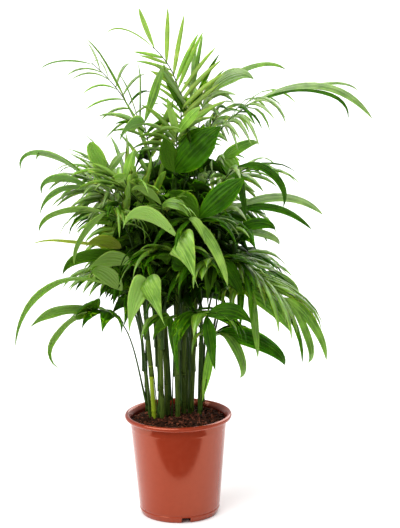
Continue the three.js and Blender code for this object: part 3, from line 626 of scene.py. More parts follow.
# %% The fronds
# cane, share of the cane, end of the stalk, slope at its start and end, then what differs. Each of
# the ends is a broad leaf: tip x, y, z, width, arch and turn.
FRONDS = {
    "top_left": ("e", 0.98, (-30, -20, 745), 88, 42, dict(
        bare=0.46, pairs=6, leaf=74, width=10, droop=0.25, wide=46, narrow=34, lift=0, roll=75,
        uneven=-0.3, ends=[(-50, -25, 805, 13, -0.06, 80), (-100, -30, 770, 8, 0.35, 40)])),
    "thin_left": ("d", 0.98, (-125, 40, 715), 86, 38, dict(
        bare=0.6, pairs=6, leaf=85, width=7, wide=74, roll=-25,
        ends=[(-205, 35, 710, 8, 0.2, 50)])),
    "top_right": ("f", 0.95, (120, 0, 655), 86, 34, dict(
        bare=0.6, pairs=5, leaf=140, width=9, droop=1.7, wide=50, narrow=16,
        ends=[(305, -10, 630, 16, 0.42, 50), (285, -40, 640, 10, 0.34, 30), (295, 20, 680, 8, 0.12, 40)])),
    "upper_mid": ("g", 0.95, (50, 30, 665), 88, 66, dict(
        bare=0.86, pairs=2, leaf=90, width=14, droop=1.2, wide=40, narrow=26,
        ends=[(125, 10, 690, 26, 0.42, 60), (175, 30, 705, 12, 0.3, 40)])),
    "upper_up": ("f", 0.98, (25, -10, 655), 89, 82, dict(
        bare=0.85, pairs=2, leaf=95, width=10, droop=0.2, wide=30, lift=5,
        ends=[(45, -10, 760, 7, 0, 80), (35, -20, 750, 11, 0, 80)])),
    "upper_lean": ("d", 0.98, (-45, -40, 635), 86, 70, dict(
        bare=0.8, pairs=2, leaf=80, width=10, wide=50, narrow=30,
        ends=[(-15, -40, 720, 15, -0.04, 70), (-85, -60, 605, 34, 0.45, 60)])),
    "upper_back": ("k", 0.98, (65, 70, 620), 86, 55, dict(
        bare=0.62, pairs=5, leaf=95, width=13, droop=1.2, roll=-20)),
    "upper_bright": ("e", 0.9, (5, -50, 620), 86, 60, dict(
        bare=0.75, pairs=3, leaf=80, width=13, tint=1,
        ends=[(40, -60, 660, 20, 0, 70), (-10, -60, 675, 14, 0, 60)])),

    "left_high": ("c", 0.92, (-135, 0, 540), 78, 24, dict(
        pairs=5, leaf=105, width=10, droop=0.9, wide=60, roll=-10,
        ends=[(-250, 0, 565, 14, 0.46, 40), (-220, 10, 580, 12, 0.3, 40)])),
    "left_paddle": ("c", 0.85, (-105, -60, 560), 80, 50, dict(
        bare=0.8, pairs=1, leaf=70, width=14, droop=0.3,
        ends=[(-130, -70, 615, 18, 0, 80), (-75, -70, 595, 10, 0, 70)])),
    "left_mid": ("b", 0.95, (-125, -40, 530), 76, 20, dict(
        pairs=4, leaf=95, droop=1.2, roll=10,
        ends=[(-215, -50, 530, 15, 0.46, 50), (-210, -60, 500, 14, 0.46, 50)])),
    "left_low": ("b", 0.85, (-105, -90, 505), 76, 10, dict(
        bare=0.7, pairs=3, leaf=90, width=11, droop=1.2, roll=10,
        ends=[(-215, -90, 485, 11, 0.26, 50), (-160, -100, 430, 10, 0.3, 60)])),
    "left_back": ("i", 0.95, (-110, 70, 495), 74, 5, dict(pairs=5, leaf=95, width=13, droop=1.4)),
    "left_yellow": ("a", 0.95, (-85, -20, 435), 76, 20, dict(
        tint=1, ends=[(-140, -30, 440, 20, 0.4, 60), (-220, -20, 450, 6, 0.05, 50)])),
    "left_broad": ("b", 0.75, (-70, -60, 420), 74, 10, dict(
        bare=0.76, pairs=2, leaf=90, width=14, droop=1.1, wide=50,
        ends=[(-180, -70, 410, 22, 0.34, 60), (-135, -90, 415, 22, 0.34, 60)])),
    "left_long": ("b", 0.6, (-85, -30, 370), 74, 8, dict(
        ends=[(-260, -40, 290, 20, 0.62, 40), (-135, -60, 405, 20, 0.4, 60)])),
    "left_fan": ("a", 0.12, (-130, -10, 330), 76, -8, dict(
        bare=0.76, pairs=3, leaf=80, droop=1.9, wide=70,
        ends=[(-230, -20, 310, 18, 0.3, 50), (-215, -40, 245, 16, 0.45, 50), (-160, -60, 330, 28, 0.4, 50)])),
    "left_deep": ("i", 0.6, (-115, 90, 375), 70, 0, dict(bare=0.6, pairs=5, width=16, droop=1.4)),

    "right_high": ("g", 0.9, (75, 10, 480), 78, 30, dict(
        bare=0.58, pairs=4, width=11, droop=1.3, wide=50,
        ends=[(230, 0, 480, 15, 0.34, 50), (210, -20, 460, 12, 0.34, 50)])),
    "right_small": ("k", 0.95, (75, 50, 560), 80, 40, dict(
        pairs=4, leaf=80, width=11, droop=1,
        ends=[(135, 40, 590, 17, 0.15, 60), (105, 30, 515, 30, 0.3, 60)])),
    "right_arch": ("g", 0.8, (95, -20, 560), 82, 40, dict(
        bare=0.76, pairs=2, leaf=90, width=15, droop=1.5, wide=50,
        ends=[(180, -30, 495, 17, 0.6, 50), (110, -10, 470, 18, 0.3, 70)])),
    "right_mid": ("h", 0.95, (90, -10, 455), 70, 24, dict(
        bare=0.58, pairs=4, leaf=85, droop=1.2,
        ends=[(160, -20, 460, 18, 0.34, 60), (170, -20, 435, 12, 0.25, 60)])),
    "right_long": ("f", 0.75, (165, -80, 365), 74, -42, dict(
        bare=0.5, pairs=5, leaf=95, width=14, droop=0.9, wide=44,
        ends=[(235, -80, 265, 15, 0.35, 60), (215, -90, 245, 11, 0.4, 60)])),
    "right_broad": ("h", 0.8, (100, -20, 375), 64, 10, dict(
        bare=0.72, pairs=2, leaf=90, width=16, droop=1.3,
        ends=[(200, -30, 370, 25, 0.34, 60), (180, -40, 300, 28, 0.25, 60)])),
    "right_lower": ("h", 0.45, (65, -30, 300), 74, 10, dict(
        bare=0.72, pairs=2, leaf=75, width=16, droop=1.4,
        ends=[(180, -40, 245, 26, 0.25, 60), (110, -50, 215, 15, 0.6, 60)])),
    "right_hang": ("g", 0.7, (115, -60, 375), 74, 0, dict(
        bare=0.72, pairs=2, leaf=80, width=14, droop=1.4,
        ends=[(125, -60, 265, 12, 0.1, 80), (210, -50, 325, 12, 0.4, 60)])),
    "right_deep": ("k", 0.7, (120, 80, 390), 70, 0, dict(bare=0.58, pairs=5, leaf=95, width=15, droop=1.4)),
    "right_young": ("h", 0.08, (45, -10, 220), 84, 82, dict(tint=1, ends=[(55, -15, 280, 15, 0, 80)])),

    "front_broad": ("c", 0.95, (5, -120, 470), 82, 30, dict(
        tint=2, ends=[(-80, -150, 495, 46, 0.6, 60), (30, -150, 400, 56, 0.35, 75)])),
    "front_left": ("b", 0.6, (-45, -120, 410), 78, 20, dict(
        tint=2, ends=[(-20, -140, 340, 48, 0.2, 85), (-75, -135, 325, 44, 0.3, 85)])),
    "front_high": ("d", 0.9, (-20, -110, 520), 82, 30, dict(
        bare=0.8, pairs=2, leaf=80, width=13, droop=1.2,
        ends=[(20, -130, 505, 20, 0.5, 60), (-65, -120, 545, 16, 0.4, 60)])),
    "front_right": ("e", 0.85, (20, -110, 500), 84, 50, dict(
        tint=2, ends=[(45, -120, 460, 20, 0.6, 70), (80, -120, 395, 18, 0.35, 60)])),
    "front_low": ("e", 0.45, (45, -120, 350), 74, 10, dict(
        bare=0.6, pairs=3, leaf=88, width=21, droop=1.5,
        ends=[(115, -130, 340, 24, 0.4, 60), (55, -130, 265, 18, 0.3, 70)])),
    "front_strip": ("c", 0.5, (-10, -80, 340), 80, 20, dict(
        bare=0.6, pairs=2, leaf=75, width=16, droop=1.2,
        ends=[(0, -85, 250, 12, 0.1, 85), (-40, -90, 300, 22, 0.3, 80)])),
    "centre_high": ("e", 0.8, (0, -50, 560), 86, 66, dict(
        ends=[(70, -60, 630, 56, 0.03, 70), (-15, -60, 615, 32, 0, 80)])),
    "centre_dark": ("f", 0.9, (35, -90, 495), 82, 40, dict(
        bare=0.6, pairs=3, leaf=80, width=18,
        ends=[(105, -90, 555, 32, 0.04, 75), (-10, -90, 535, 32, 0.15, 75)])),
    "centre_left": ("d", 0.95, (-75, -90, 555), 82, 60, dict(
        bare=0.7, pairs=3, leaf=75, droop=0.5, tint=1,
        ends=[(-60, -90, 600, 14, 0, 80), (-95, -100, 560, 18, 0.3, 60)])),
    "centre_low": ("d", 0.7, (-5, -90, 440), 80, 30, dict(
        bare=0.5, pairs=4, leaf=95, width=26,
        ends=[(40, -90, 395, 38, 0.25, 70), (-40, -90, 420, 36, 0.25, 70)])),
    "centre_right": ("f", 0.6, (60, -80, 425), 80, 30, dict(
        bare=0.5, pairs=4, leaf=95, width=24,
        ends=[(110, -90, 365, 26, 0.35, 65), (45, -90, 350, 34, 0.3, 75)])),
}

# %% Nine fronds round the back, 20 degrees apart
BACK = dict(bare=0.52, pairs=6, leaf=108, width=16, droop=1.25)
BACK_CANES = "gkkkiiidc"
BACK_FIRST, BACK_APART = 10, 20
BACK_REACHES = (105, 140)
BACK_MIDDLE = 50
BACK_HEIGHT, BACK_RISE = 400, 65
BACK_SHARE, BACK_SHARE_STEP = 0.55, 0.12
BACK_SLOPES = (80, 5)
for number, cane in enumerate(BACK_CANES):
    angle = math.radians(BACK_FIRST + BACK_APART * number)
    reach = BACK_REACHES[number % 2]
    plan = (reach * math.cos(angle), BACK_MIDDLE + reach * math.sin(angle))
    end = (*plan, BACK_HEIGHT + BACK_RISE * (2 * number % 3))
    share = BACK_SHARE + BACK_SHARE_STEP * (number % 4)
    FRONDS[f"back_{number + 1}"] = (cane, share, end, *BACK_SLOPES, BACK)
print(f"{len(FRONDS)} fronds")

# %% Curves
UP = np.array([0.0, 0.0, 1.0])


def bezier(controls, share):
    """The point at a share of a curve: halfway points by that share, taken until one is left."""
    share = np.asarray(share, float)[..., None]
    points = list(controls)
    while len(points) > 1:
        points = [a * (1 - share) + b * share for a, b in zip(points, points[1:])]
    return points[0]


def tangent(controls, share):
    """The way the curve runs there: the same blend of the steps between its controls."""
    return unit(bezier([b - a for a, b in zip(controls, controls[1:])], share))


def heading(start, end):
    """The angle in plan from start to end."""
    return math.atan2(end[1] - start[1], end[0] - start[0])


def sloping(degrees, angle):
    """The direction that rises so steeply and heads for that angle."""
    slope = math.radians(degrees)
    level = math.cos(slope)
    return np.array([level * math.cos(angle), level * math.sin(angle), math.sin(slope)])


# %% The stalk's line
STALK_STEPS = 8
LEAVING_PULL = 0.42
ENDING_PULL = 0.36
STALK_FOOT_RADIUS = 2.3
STALK_END_RADIUS = 1.5
END_SHARE = 0.985


def stalk_line(frond, move):
    """Four control points: off the cane's side, up along the first slope, back along the last, end."""
    cane, share, end, rise, fall = frond[:5]
    last = np.array(end, float)
    middle = cane_point(CANES[cane], share)
    angle = heading(middle, last)
    first = middle + sloping(0, angle) * cane_radius(CANES[cane], share)
    span = np.linalg.norm(last - first)
    leaving = first + sloping(rise, angle) * LEAVING_PULL * span + move
    ending = last - sloping(fall, angle) * ENDING_PULL * span + 0.5 * move
    return [first, leaving, ending, last]


def across_stalk(line, along):
    """The level and the upright direction across a stalk where it runs along."""
    angle = heading(line[0], line[3])
    level = np.array([math.sin(angle), -math.cos(angle), 0])
    level = unit(level - along * (along @ level)[..., None])
    return level, np.cross(level, along)


def stalk_frame(line, share):
    """A point of the stalk, the way it runs, and the level and upright directions across it.

    The point lies on the straight piece between two of the solid's rings.
    """
    ring = min(int(share * STALK_STEPS), STALK_STEPS - 1)
    before, after = bezier(line, np.array([ring, ring + 1]) / STALK_STEPS)
    point = before + (after - before) * (share * STALK_STEPS - ring)
    along = tangent(line, share)
    return point, along, *across_stalk(line, along)


# %% [markdown]
# Where two fronds would touch, the solids bend one of them by a small move. The list of moves is
# short, so the one that was taken is found again by looking: for each move, one corner that the
# solid would have is worked out, and the move whose corner is really there is the right one.

# %% Find the moves that the solids made
WAYS = ((0, 0, 1), (1, 0, 0), (-1, 0, 0), (0, 1, 0), (0, -1, 0), (0, 0, -1))
MOVES = [np.zeros(3)] + [far * np.array(way) for far in (2, 8, 16, 24, 32) for way in WAYS]
SAME_MM = 0.05
MARKED_RING = 2 / STALK_STEPS


def solid_corners(node):
    """All corners of a node's solid in millimetres."""
    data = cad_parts[node].data
    corners = np.empty(3 * len(data.vertices), np.float32)
    data.vertices.foreach_get("co", corners)
    return corners.reshape(-1, 3) / MM


def move_taken(corner_after, corners):
    """The first move whose corner is among the solid's corners, or None."""
    for move in MOVES:
        if np.linalg.norm(corners - corner_after(move), axis=1).min() < SAME_MM:
            return move
    return None


def marked_corner(frond, move):
    """The upright corner of the stalk's third ring."""
    point, _, _, upright = stalk_frame(stalk_line(frond, move), MARKED_RING)
    radius = STALK_FOOT_RADIUS + (STALK_END_RADIUS - STALK_FOOT_RADIUS) * MARKED_RING
    return point + upright * radius


# %% Leaflets
# waist is the power that shapes a blade's root: more moves its widest part outwards
PLAIN = dict(twist=0.0, waist=0.5, sharp=1.0, curl=0.3, broad=False)
FIRST_LENGTH = 0.74
LENGTH_PHASE = 0.12
LENGTH_SPAN = 0.72
LAST_PAIR_WIDTH = 1.25
PAIR_STAGGER = 0.35
STEPS_LESS = 0.7  # the leafy part of a stalk has this many steps less than rows
WIDTH_FOLLOWS = 0.6  # how much of what makes one side's leaflets longer makes them wider too
VARY = dict(spread=7, lift=9, length=0.12, width=0.12, droop=0.3, twist=12)


def chance(a, b, c):
    """A number from 0 to 1 that looks random: what is left after the point of sin(...) x 43758.5453.

    a is the frond, b the leaf and c what the number is for.
    """
    wave = math.sin(a * 12.9898 + b * 78.233 + c * 37.719) * 43758.5453
    return wave - math.floor(wave)


def side_leaf(n, look, line, pair, side, place=None):
    """A leaflet: it leaves the stalk at its spread, lifts, and its outer half droops.

    A pair between two whole ones, or one with a place of its own on the stalk, is one of the finer
    leaflets that the solids leave out.
    """
    rows = look["pairs"] + (1 if look["ends"] else 0)
    last = pair == rows - 1
    share = pair / max(rows - 1, 1)
    step = (pair + PAIR_STAGGER * (side + 1) / 2) / max(rows - STEPS_LESS, 1)
    if place is None:
        place = END_SHARE if last else look["bare"] + (1 - look["bare"]) * step
    root, along, level, _ = stalk_frame(line, place)
    across = turned(level, along, math.radians(look["roll"]))
    above = np.cross(across, along)

    def vary(kind):
        """A number from -1 to 1 that is this leaflet's own."""
        return 2 * chance(n, 2 * pair + (side > 0), kind) - 1

    spread = look["wide"] + (look["narrow"] - look["wide"]) * share + VARY["spread"] * vary(1)
    lift = math.radians(look["lift"] + VARY["lift"] * vary(2))
    cos, sin = math.cos(math.radians(spread)), math.sin(math.radians(spread))
    start = (along * cos + across * side * sin) * math.cos(lift) + above * math.sin(lift)
    form = math.sin(math.pi * (LENGTH_PHASE + LENGTH_SPAN * share))
    uneven = 1 + look["uneven"] * side
    length = look["leaf"] * uneven * (FIRST_LENGTH + (1 - FIRST_LENGTH) * form)
    length *= 1 + VARY["length"] * vary(3)
    width = look["width"] * (1 - WIDTH_FOLLOWS + WIDTH_FOLLOWS * uneven) * (LAST_PAIR_WIDTH if last else 1)
    droop = look["droop"] * (1 + VARY["droop"] * vary(5))
    bend = root + start * length / 2
    return PLAIN | dict(
        root=bezier(line, place),
        bend=bend,
        tip=bend + unit(start - droop * UP) * length / 2,
        wide=along * side * sin - across * cos,
        width=width * (1 + VARY["width"] * vary(4)),
        twist=math.radians(VARY["twist"] * vary(6)),
    )


# %% Broad leaves at a stalk's end
ARCHED_WAIST = 0.8  # an arched leaf is widest further out...
ARCHED_BEND = 0.3  # ...and bends further out
STANDING_TURN = 70  # from this turn on, a leaf that points up is a plain oval...
STANDING_WAIST = 0.9
STANDING_SHARP = 0.6
HANGING_TURN = 75  # ...and from this one, a leaf that hangs is widest near its root
HANGING_WAIST = 0.36


def end_leaf(line, end):
    """A leaf aimed at its tip: arch lifts its middle and moves it outwards, turn stands it on edge."""
    x, y, z, width, arch, turn = end
    root = stalk_frame(line, END_SHARE)[0]
    tip = np.array([x, y, z], float)
    reach = tip - root
    size = np.linalg.norm(reach)
    shape = dict(waist=PLAIN["waist"] + ARCHED_WAIST * max(arch, 0))
    if turn >= STANDING_TURN and reach[2] > 0:
        shape = dict(waist=STANDING_WAIST, sharp=STANDING_SHARP)
    elif turn >= HANGING_TURN:
        shape = dict(waist=HANGING_WAIST)
    bend = root + reach * (0.5 + ARCHED_BEND * max(arch, 0)) + UP * arch * size
    wide = turned(unit(np.cross(UP, reach)), reach / size, math.radians(turn))
    ends = dict(root=bezier(line, END_SHARE), bend=bend, tip=tip)
    return PLAIN | ends | shape | dict(wide=wide, width=width, broad=True)


# %% The leaves that the solids have
YELLOWING = "left_yellow"
YELLOW_FORWARD = np.array([0, -14, 0])  # brings its middle out from behind its neighbours
YOUNG = "right_young"  # its blade still runs down its stalk
YOUNG_BLADE_FROM = 0.3
YOUNG_BLADE_OFF = np.array([0, -5, 0])


def solid_leaves(n, name, look, line, corners):
    """A frond's own leaves, each moved or left out as the solid has it, with their numbers."""
    grown = [side_leaf(n, look, line, pair, side) for pair in range(look["pairs"]) for side in (-1, 1)]
    grown += [end_leaf(line, end) for end in look["ends"]]
    kept = []
    for number, leaf in enumerate(grown):
        move = move_taken(lambda move: leaf["tip"] + move, corners)
        if move is None:
            continue
        leaf["bend"] = leaf["bend"] + 0.5 * move
        leaf["tip"] = leaf["tip"] + move
        if name == YELLOWING and leaf["broad"]:
            leaf["bend"] = leaf["bend"] + YELLOW_FORWARD
        if name == YOUNG:
            leaf["root"] = bezier(line, YOUNG_BLADE_FROM) + YOUNG_BLADE_OFF
        kept.append((number, leaf))
    return kept


# %% [markdown]
# A real crown has far more leaflets than the solids, which carry only those that give the outline.
# Scattered ones would blur it. So each of the solid's leaflets stays in its place, finer ones stand
# between them by the same rule, and others fill the lower part of the stalks, all inside the solids'
# box.

# %% Places in the crown
# a group holds the fronds whose name starts with one of its words
INNER = ("centre", "back_3", "back_4", "back_5", "back_6", "back_7", "front_low", "front_strip")
OUTER = ("left", "right", "thin_left", "top_right")
LOW_LEFT = ("left_low", "left_long", "left_broad")
LOW_RIGHT = ("right_lower", "right_hang", "right_broad", "right_long")
LOW = (*LOW_LEFT, *LOW_RIGHT, "left_fan", "left_deep")

# %% Finer leaflets between them
# for fronds whose name starts so: into how many steps the space between two of the solid's
# leaflets is split, then how wide leaflets and end leaves are over the solid's. The first row that
# fits counts.
FINENESS = (
    ("thin_left", (1, 0.6, 0.6)),
    ("top_left", (2, 0.6, 0.6)),
    ("left_fan", (1, 2.0, 1.8)),
    (LOW_LEFT, (3, 1.0, 1.5)),
    ("left", (2, 1.0, 1.35)),
    ("upper_bright", (2, 0.6, 0.9)),
    ("centre_high", (3, 0.8, 0.95)),
    (("right_deep", "right_small"), (2, 0.9, 1.2)),
    (LOW_RIGHT, (3, 0.85, 1.15)),
    ("right", (1, 0.95, 1.1)),
    (INNER, (3, 1.0, 1.15)),
    ("", (2, 0.8, 0.95)),
)
HANG = dict(leaf=1.45, droop=1.9)  # the second of two finer leaflets is this much longer and limper
FINER_NUMBER = 100  # chance knows a frond's leaves by number: its own from 0, these from 100
INSIDE_MM = 4


def inside(leaf):
    """Whether a leaf that the solids leave out stays in their box."""
    low, high = (np.array(corner) / MM for corner in cad_box)
    ends = np.stack([leaf["bend"], leaf["tip"]])
    return bool((ends > low + INSIDE_MM).all() and (ends < high - INSIDE_MM).all())


def finer_leaves(n, look, line, steps):
    """The leaflets at the steps between two whole pairs, with their numbers."""
    hanging = look | {key: look[key] * share for key, share in HANG.items()}
    between = [
        side_leaf(n, hanging if step == 2 else look, line, pair + step / steps, side)
        for pair in range(look["pairs"] - 1)
        for step in range(1, steps)
        for side in (-1, 1)
    ]
    return [(FINER_NUMBER + number, leaf) for number, leaf in enumerate(between) if inside(leaf)]


# %% Leaves on the bare part of the stalks
# their green, the canes whose upper fronds have them, the stretch of the stalk, the lowest root,
# and what differs from USUAL. The first row makes the crown's core dense, and dark with its green
# of painted shade, the second stands upright in its left half.
FILL = (
    ("shade", "bcdefgik", 0.02, 0.45, 350, dict(
        pairs=4, leaf=115, width=26, droop=2.1, wide=78, narrow=50)),
    ("mature", "bcd", 0.25, 0.75, 480, dict(
        pairs=4, leaf=130, width=11, droop=0.3, wide=30, lift=18)),
)
FILL_FROM = 0.5  # the share of its cane at which an upper frond starts
FILL_NUMBER = 200  # and these from 200, with 20 numbers for each row of FILL
FILL_NUMBERS = 20


def fill_leaves(n, frond, line):
    """A frond's leaves on the bare part of its stalk, left and right by turns, with their numbers."""
    kept = []
    for row, (kind, canes, first, last, lowest, extra) in enumerate(FILL):
        if frond[0] not in canes or frond[1] < FILL_FROM:
            continue
        for k in range(extra["pairs"]):
            place = first + (last - first) * (k + chance(n, k, 12 + row)) / extra["pairs"]
            leaf = side_leaf(n + 0.5, USUAL | extra, line, k, 1 - 2 * (k % 2), place)
            if leaf["root"][2] > lowest and inside(leaf):
                kept.append((FILL_NUMBER + FILL_NUMBERS * row + k, leaf | dict(kind=kind)))
    return kept


# %% [markdown]
# Leaves deep in the crown get the darkest green, which is painted shade; older ones outside are
# waxy, with a greyer green that is partly painted sheen; and new ones are yellow-green. One material
# with greens mixed by noise would show its pattern across neighbours. So there are several plain
# greens: the frond's place in the crown gives a short list, and chance picks from it.

# %% Which green a leaf has
# where its frond stands: the kinds of green, each with the draw that it goes up to
PALETTES = dict(
    yellowing=(("golden", 0.8), ("fresh", 1)),
    pale=(("pale", 1),),
    upper=(("mature", 0.45), ("waxy", 0.7), ("deep", 1)),
    bright=(("bright", 0.7), ("fresh", 1)),
    fresh=(("fresh", 1),),
    deep=(("deep", 1),),
    inner=(("deep", 0.75), ("mature", 1)),
    low=(("mature", 0.7), ("deep", 1)),
    outer=(("waxy", 0.55), ("fresh", 0.85), ("deep", 1)),
    other=(("mature", 0.4), ("fresh", 0.85), ("deep", 1)),
)
BRIGHT = ("top_left", "right_young")


def palette(name, look, broad):
    """The greens of a leaf's place: the first of these rules that fits its frond."""
    if broad and name == YELLOWING:
        return "yellowing"
    if broad and look["tint"] == 2:
        return "pale"
    if name.startswith("upper") and not (broad and look["tint"]):
        return "upper"
    if name in BRIGHT:
        return "bright"
    if look["tint"] or broad and name == "right_small":
        return "fresh"
    if name.startswith(INNER):
        return "deep" if broad else "inner"
    if name.startswith(LOW):
        return "low"
    return "outer" if name.startswith(OUTER) else "other"


def leaf_kind(n, name, look, number, broad):
    """One of the greens of the leaf's place, by chance."""
    draw = chance(n, number, 9)
    return next(kind for kind, up_to in PALETTES[palette(name, look, broad)] if draw < up_to)


# %% Grow every frond
CURL = 1.6  # how far the outer broad leaves may roll their tips under, in radians
CURLED = ("left", "right", "top_right")
ARCHED_SLIM = 0.62  # a pale leaf that arches shows its edge, so it is slimmer
ARCHED_FROM = 0.9

stalks, leaves = {}, []
for n, (name, frond) in enumerate(FRONDS.items()):
    look = USUAL | frond[5]
    corners = solid_corners(f"frond_{name}")
    line = stalk_line(frond, move_taken(lambda move: marked_corner(frond, move), corners))
    stalks[name] = line
    steps, slim, slim_end = next(row for names, row in FINENESS if name.startswith(names))
    kept = solid_leaves(n, name, look, line, corners)
    kept += finer_leaves(n, look, line, steps)
    kept += fill_leaves(n, frond, line)
    for number, leaf in kept:
        leaf.setdefault("kind", leaf_kind(n, name, look, number, leaf["broad"]))
        leaf["seed"] = chance(n, number, 11)
        leaf["width"] *= slim_end if leaf["broad"] else slim
        if leaf["kind"] == "pale" and leaf["waist"] > ARCHED_FROM:
            leaf["width"] *= ARCHED_SLIM
        if leaf["broad"] and name.startswith(CURLED) and leaf["waist"] > PLAIN["waist"]:
            leaf["curl"] = CURL * chance(n, number, 13)
        leaves.append(leaf)
print(f"{len(stalks)} stalks and {len(leaves)} leaves")

# %% [markdown]
# The core of the crown is dark, because each cane keeps a few short old leaves low inside it. The
# solids leave them out, since nobody sees more of them than thin stalks and shade. They follow the
# same rule, close to their canes and well inside the crown, and most of them get the darkest green,
# which is painted shade.

# %% Old leaves of the core
OLD_LOOK = USUAL | dict(bare=0.74, pairs=4, leaf=102, width=24, droop=2.2, wide=78, narrow=40)
OLD_PER_CANE = 3
OLD_LOWEST, OLD_RISE = 385, 65
OLD_NEAREST, OLD_SPREAD = 22, 30
OLD_FIRST, OLD_APART, OLD_VARY = 0.02, 0.16, 0.1  # where they leave their cane, as shares of it
OLD_SLOPES = (88, 50)
# the share of old leaves in the 'shade' green, which is painted shade
OLD_IN_SHADE = 0.7
OLD_NUMBER = 60  # chance sees them as the fronds from this number on

old_fronds, old_stalks = [], []
for i, cane in enumerate("acdefghik"):
    for k in range(OLD_PER_CANE):
        n = OLD_NUMBER + OLD_PER_CANE * i + k
        angle = math.tau * chance(n, 1, 21)
        reach = OLD_NEAREST + OLD_SPREAD * chance(n, 2, 21)
        top = cane_point(CANES[cane], 1)
        end = (top[0] + reach * math.cos(angle), top[1] + reach * math.sin(angle))
        height = OLD_LOWEST + OLD_RISE * chance(n, 4, 21)
        share = OLD_FIRST + OLD_APART * k + OLD_VARY * chance(n, 3, 21)
        frond = (cane, share, (*end, height), *OLD_SLOPES)
        line = stalk_line(frond, np.zeros(3))
        old_fronds.append(frond)
        old_stalks.append(line)
        pairs = [(pair, side) for pair in range(OLD_LOOK["pairs"]) for side in (-1, 1)]
        for number, (pair, side) in enumerate(pairs):
            leaf = side_leaf(n, OLD_LOOK, line, pair, side)
            # most old leaves get the green of painted shade, the rest the deep green
            kind = "shade" if chance(n, number, 22) < OLD_IN_SHADE else "deep"
            if inside(leaf):
                leaves.append(leaf | dict(kind=kind, seed=chance(n, number, 11)))
print(f"{len(old_stalks)} old leaves more, {len(leaves)} leaflets in all")

# %% [markdown]
# A clump also has young shoots, no thicker than a stalk, that rise beside the canes. They are bare
# as far up as they can be seen, and fill the bundle with fine upright lines.

# %% Shoots beside the canes
SHOOT_THICK = 0.62
SHOOT_LOWEST_TOP, SHOOT_TOPS_VARY = 0.75, 0.2
SHOOT_GAP_MM = 2
SHOOT_SPREAD_MM = 26
SHOOT_DEPTH_MM = 3

shoots = []
for n, row in enumerate(CANES.values()):
    angle = math.tau * chance(n, 1, 33)
    top = SHOOT_LOWEST_TOP + SHOOT_TOPS_VARY * chance(n, 2, 33)
    share = np.linspace(0, top, 4)
    apart = cane_radius(row, share) + SHOOT_GAP_MM + SHOOT_SPREAD_MM * chance(n, 3, 33) * share
    line = cane_point(row, share) + apart[:, None] * circle(angle)
    line[0, 2] -= SHOOT_DEPTH_MM
    shoots.append(list(line))
print(f"{len(shoots)} shoots")

# %% [markdown]
# ## Stalks and sheaths
# A stalk is round with a flat top side, thickest where it leaves the sheath, and the sheath is the
# leaf's own foot, rolled round the cane like a sleeve with a slanting mouth. Both are tubes: one
# carried along the stalk's line, the other along the cane.

# %% Stalk tubes
STALK_ROWS = 28
STALK_COLUMNS = 8
STALK_FOOT_MM = 1.9
STALK_TIP_MM = 0.8
STALK_FLARE_MM = 1.1
STALK_FLARE_LENGTH_MM = 15
STALK_FLAT = 0.7
OLD_THICK = 1.4


def stalk_rows(line, seed, thick):
    """Radius foot + (tip - foot) x share, with a flare that dies away over its own length."""
    share = np.linspace(0, 1, STALK_ROWS)
    span = np.linalg.norm(line[3] - line[0])
    radius = thick * (STALK_FOOT_MM + (STALK_TIP_MM - STALK_FOOT_MM) * share)
    radius = radius + STALK_FLARE_MM * np.exp(-share * span / STALK_FLARE_LENGTH_MM)
    level, upright = across_stalk(line, tangent(line, share))
    turn = math.tau * np.arange(STALK_COLUMNS) / STALK_COLUMNS
    flat = np.where(np.sin(turn) > 0, STALK_FLAT, 1)
    across = level[:, None] * np.cos(turn)[:, None] + upright[:, None] * (flat * np.sin(turn))[:, None]
    points = bezier(line, share)[:, None] + radius[:, None, None] * across
    return points, together(turn, (share * span)[:, None], 10.0 * seed)


# %% Sheath sleeves
SHEATH_MM = 62
SHEATH_ROWS = 9
LOWEST_SHEATH_MM = 4
MOUTH_SLANT_MM = 11
FOOT_SWELL_MM, SLEEVE_SWELL_MM, MOUTH_SWELL_MM = 0.2, 0.4, 1.1
INSIDE_CANE_MM = -1


def sheath_rows(frond, line, seed):
    """A sleeve round the cane below the stalk: it widens upwards, and its mouth slants up the stalk.

    Its first and last rings lie inside the cane, which closes it.
    """
    row = CANES[frond[0]]
    height = row[4] - CANE_FOOT
    top = frond[1] * height
    low = max(top - SHEATH_MM, LOWEST_SHEATH_MM)
    turn = math.tau * np.arange(CANE_COLUMNS) / CANE_COLUMNS
    facing = np.cos(turn - heading(line[0], line[3]))
    climb = np.linspace(0, 1, SHEATH_ROWS)[:, None]
    z = low + (top - low) * climb + MOUTH_SLANT_MM * climb**2 * facing
    swell = FOOT_SWELL_MM + SLEEVE_SWELL_MM * climb + MOUTH_SWELL_MM * climb**3 * np.maximum(facing, 0)
    z = np.concatenate([z[:1], z, z[-1:]])
    swell = np.pad(swell, ((1, 1), (0, 0)), constant_values=INSIDE_CANE_MM)
    share = np.minimum(z / height, 1)
    radius = bare_radius(row, share) + swell
    points = cane_point(row, share) + radius[..., None] * circle(turn)
    points[..., 2] = CANE_FOOT + z
    return points, together(turn * row[5], z, 10.0 * seed)


# %% Make the stalks and sheaths
def gather(tubes):
    """Points, faces and marks of many equal tubes as one piece."""
    points, grain = (np.stack(arrays) for arrays in zip(*tubes))
    faces = tube_faces(points.shape[1], points.shape[2], len(tubes))
    return points.reshape(-1, 3), faces, {"grain": grain.reshape(-1, 3)}


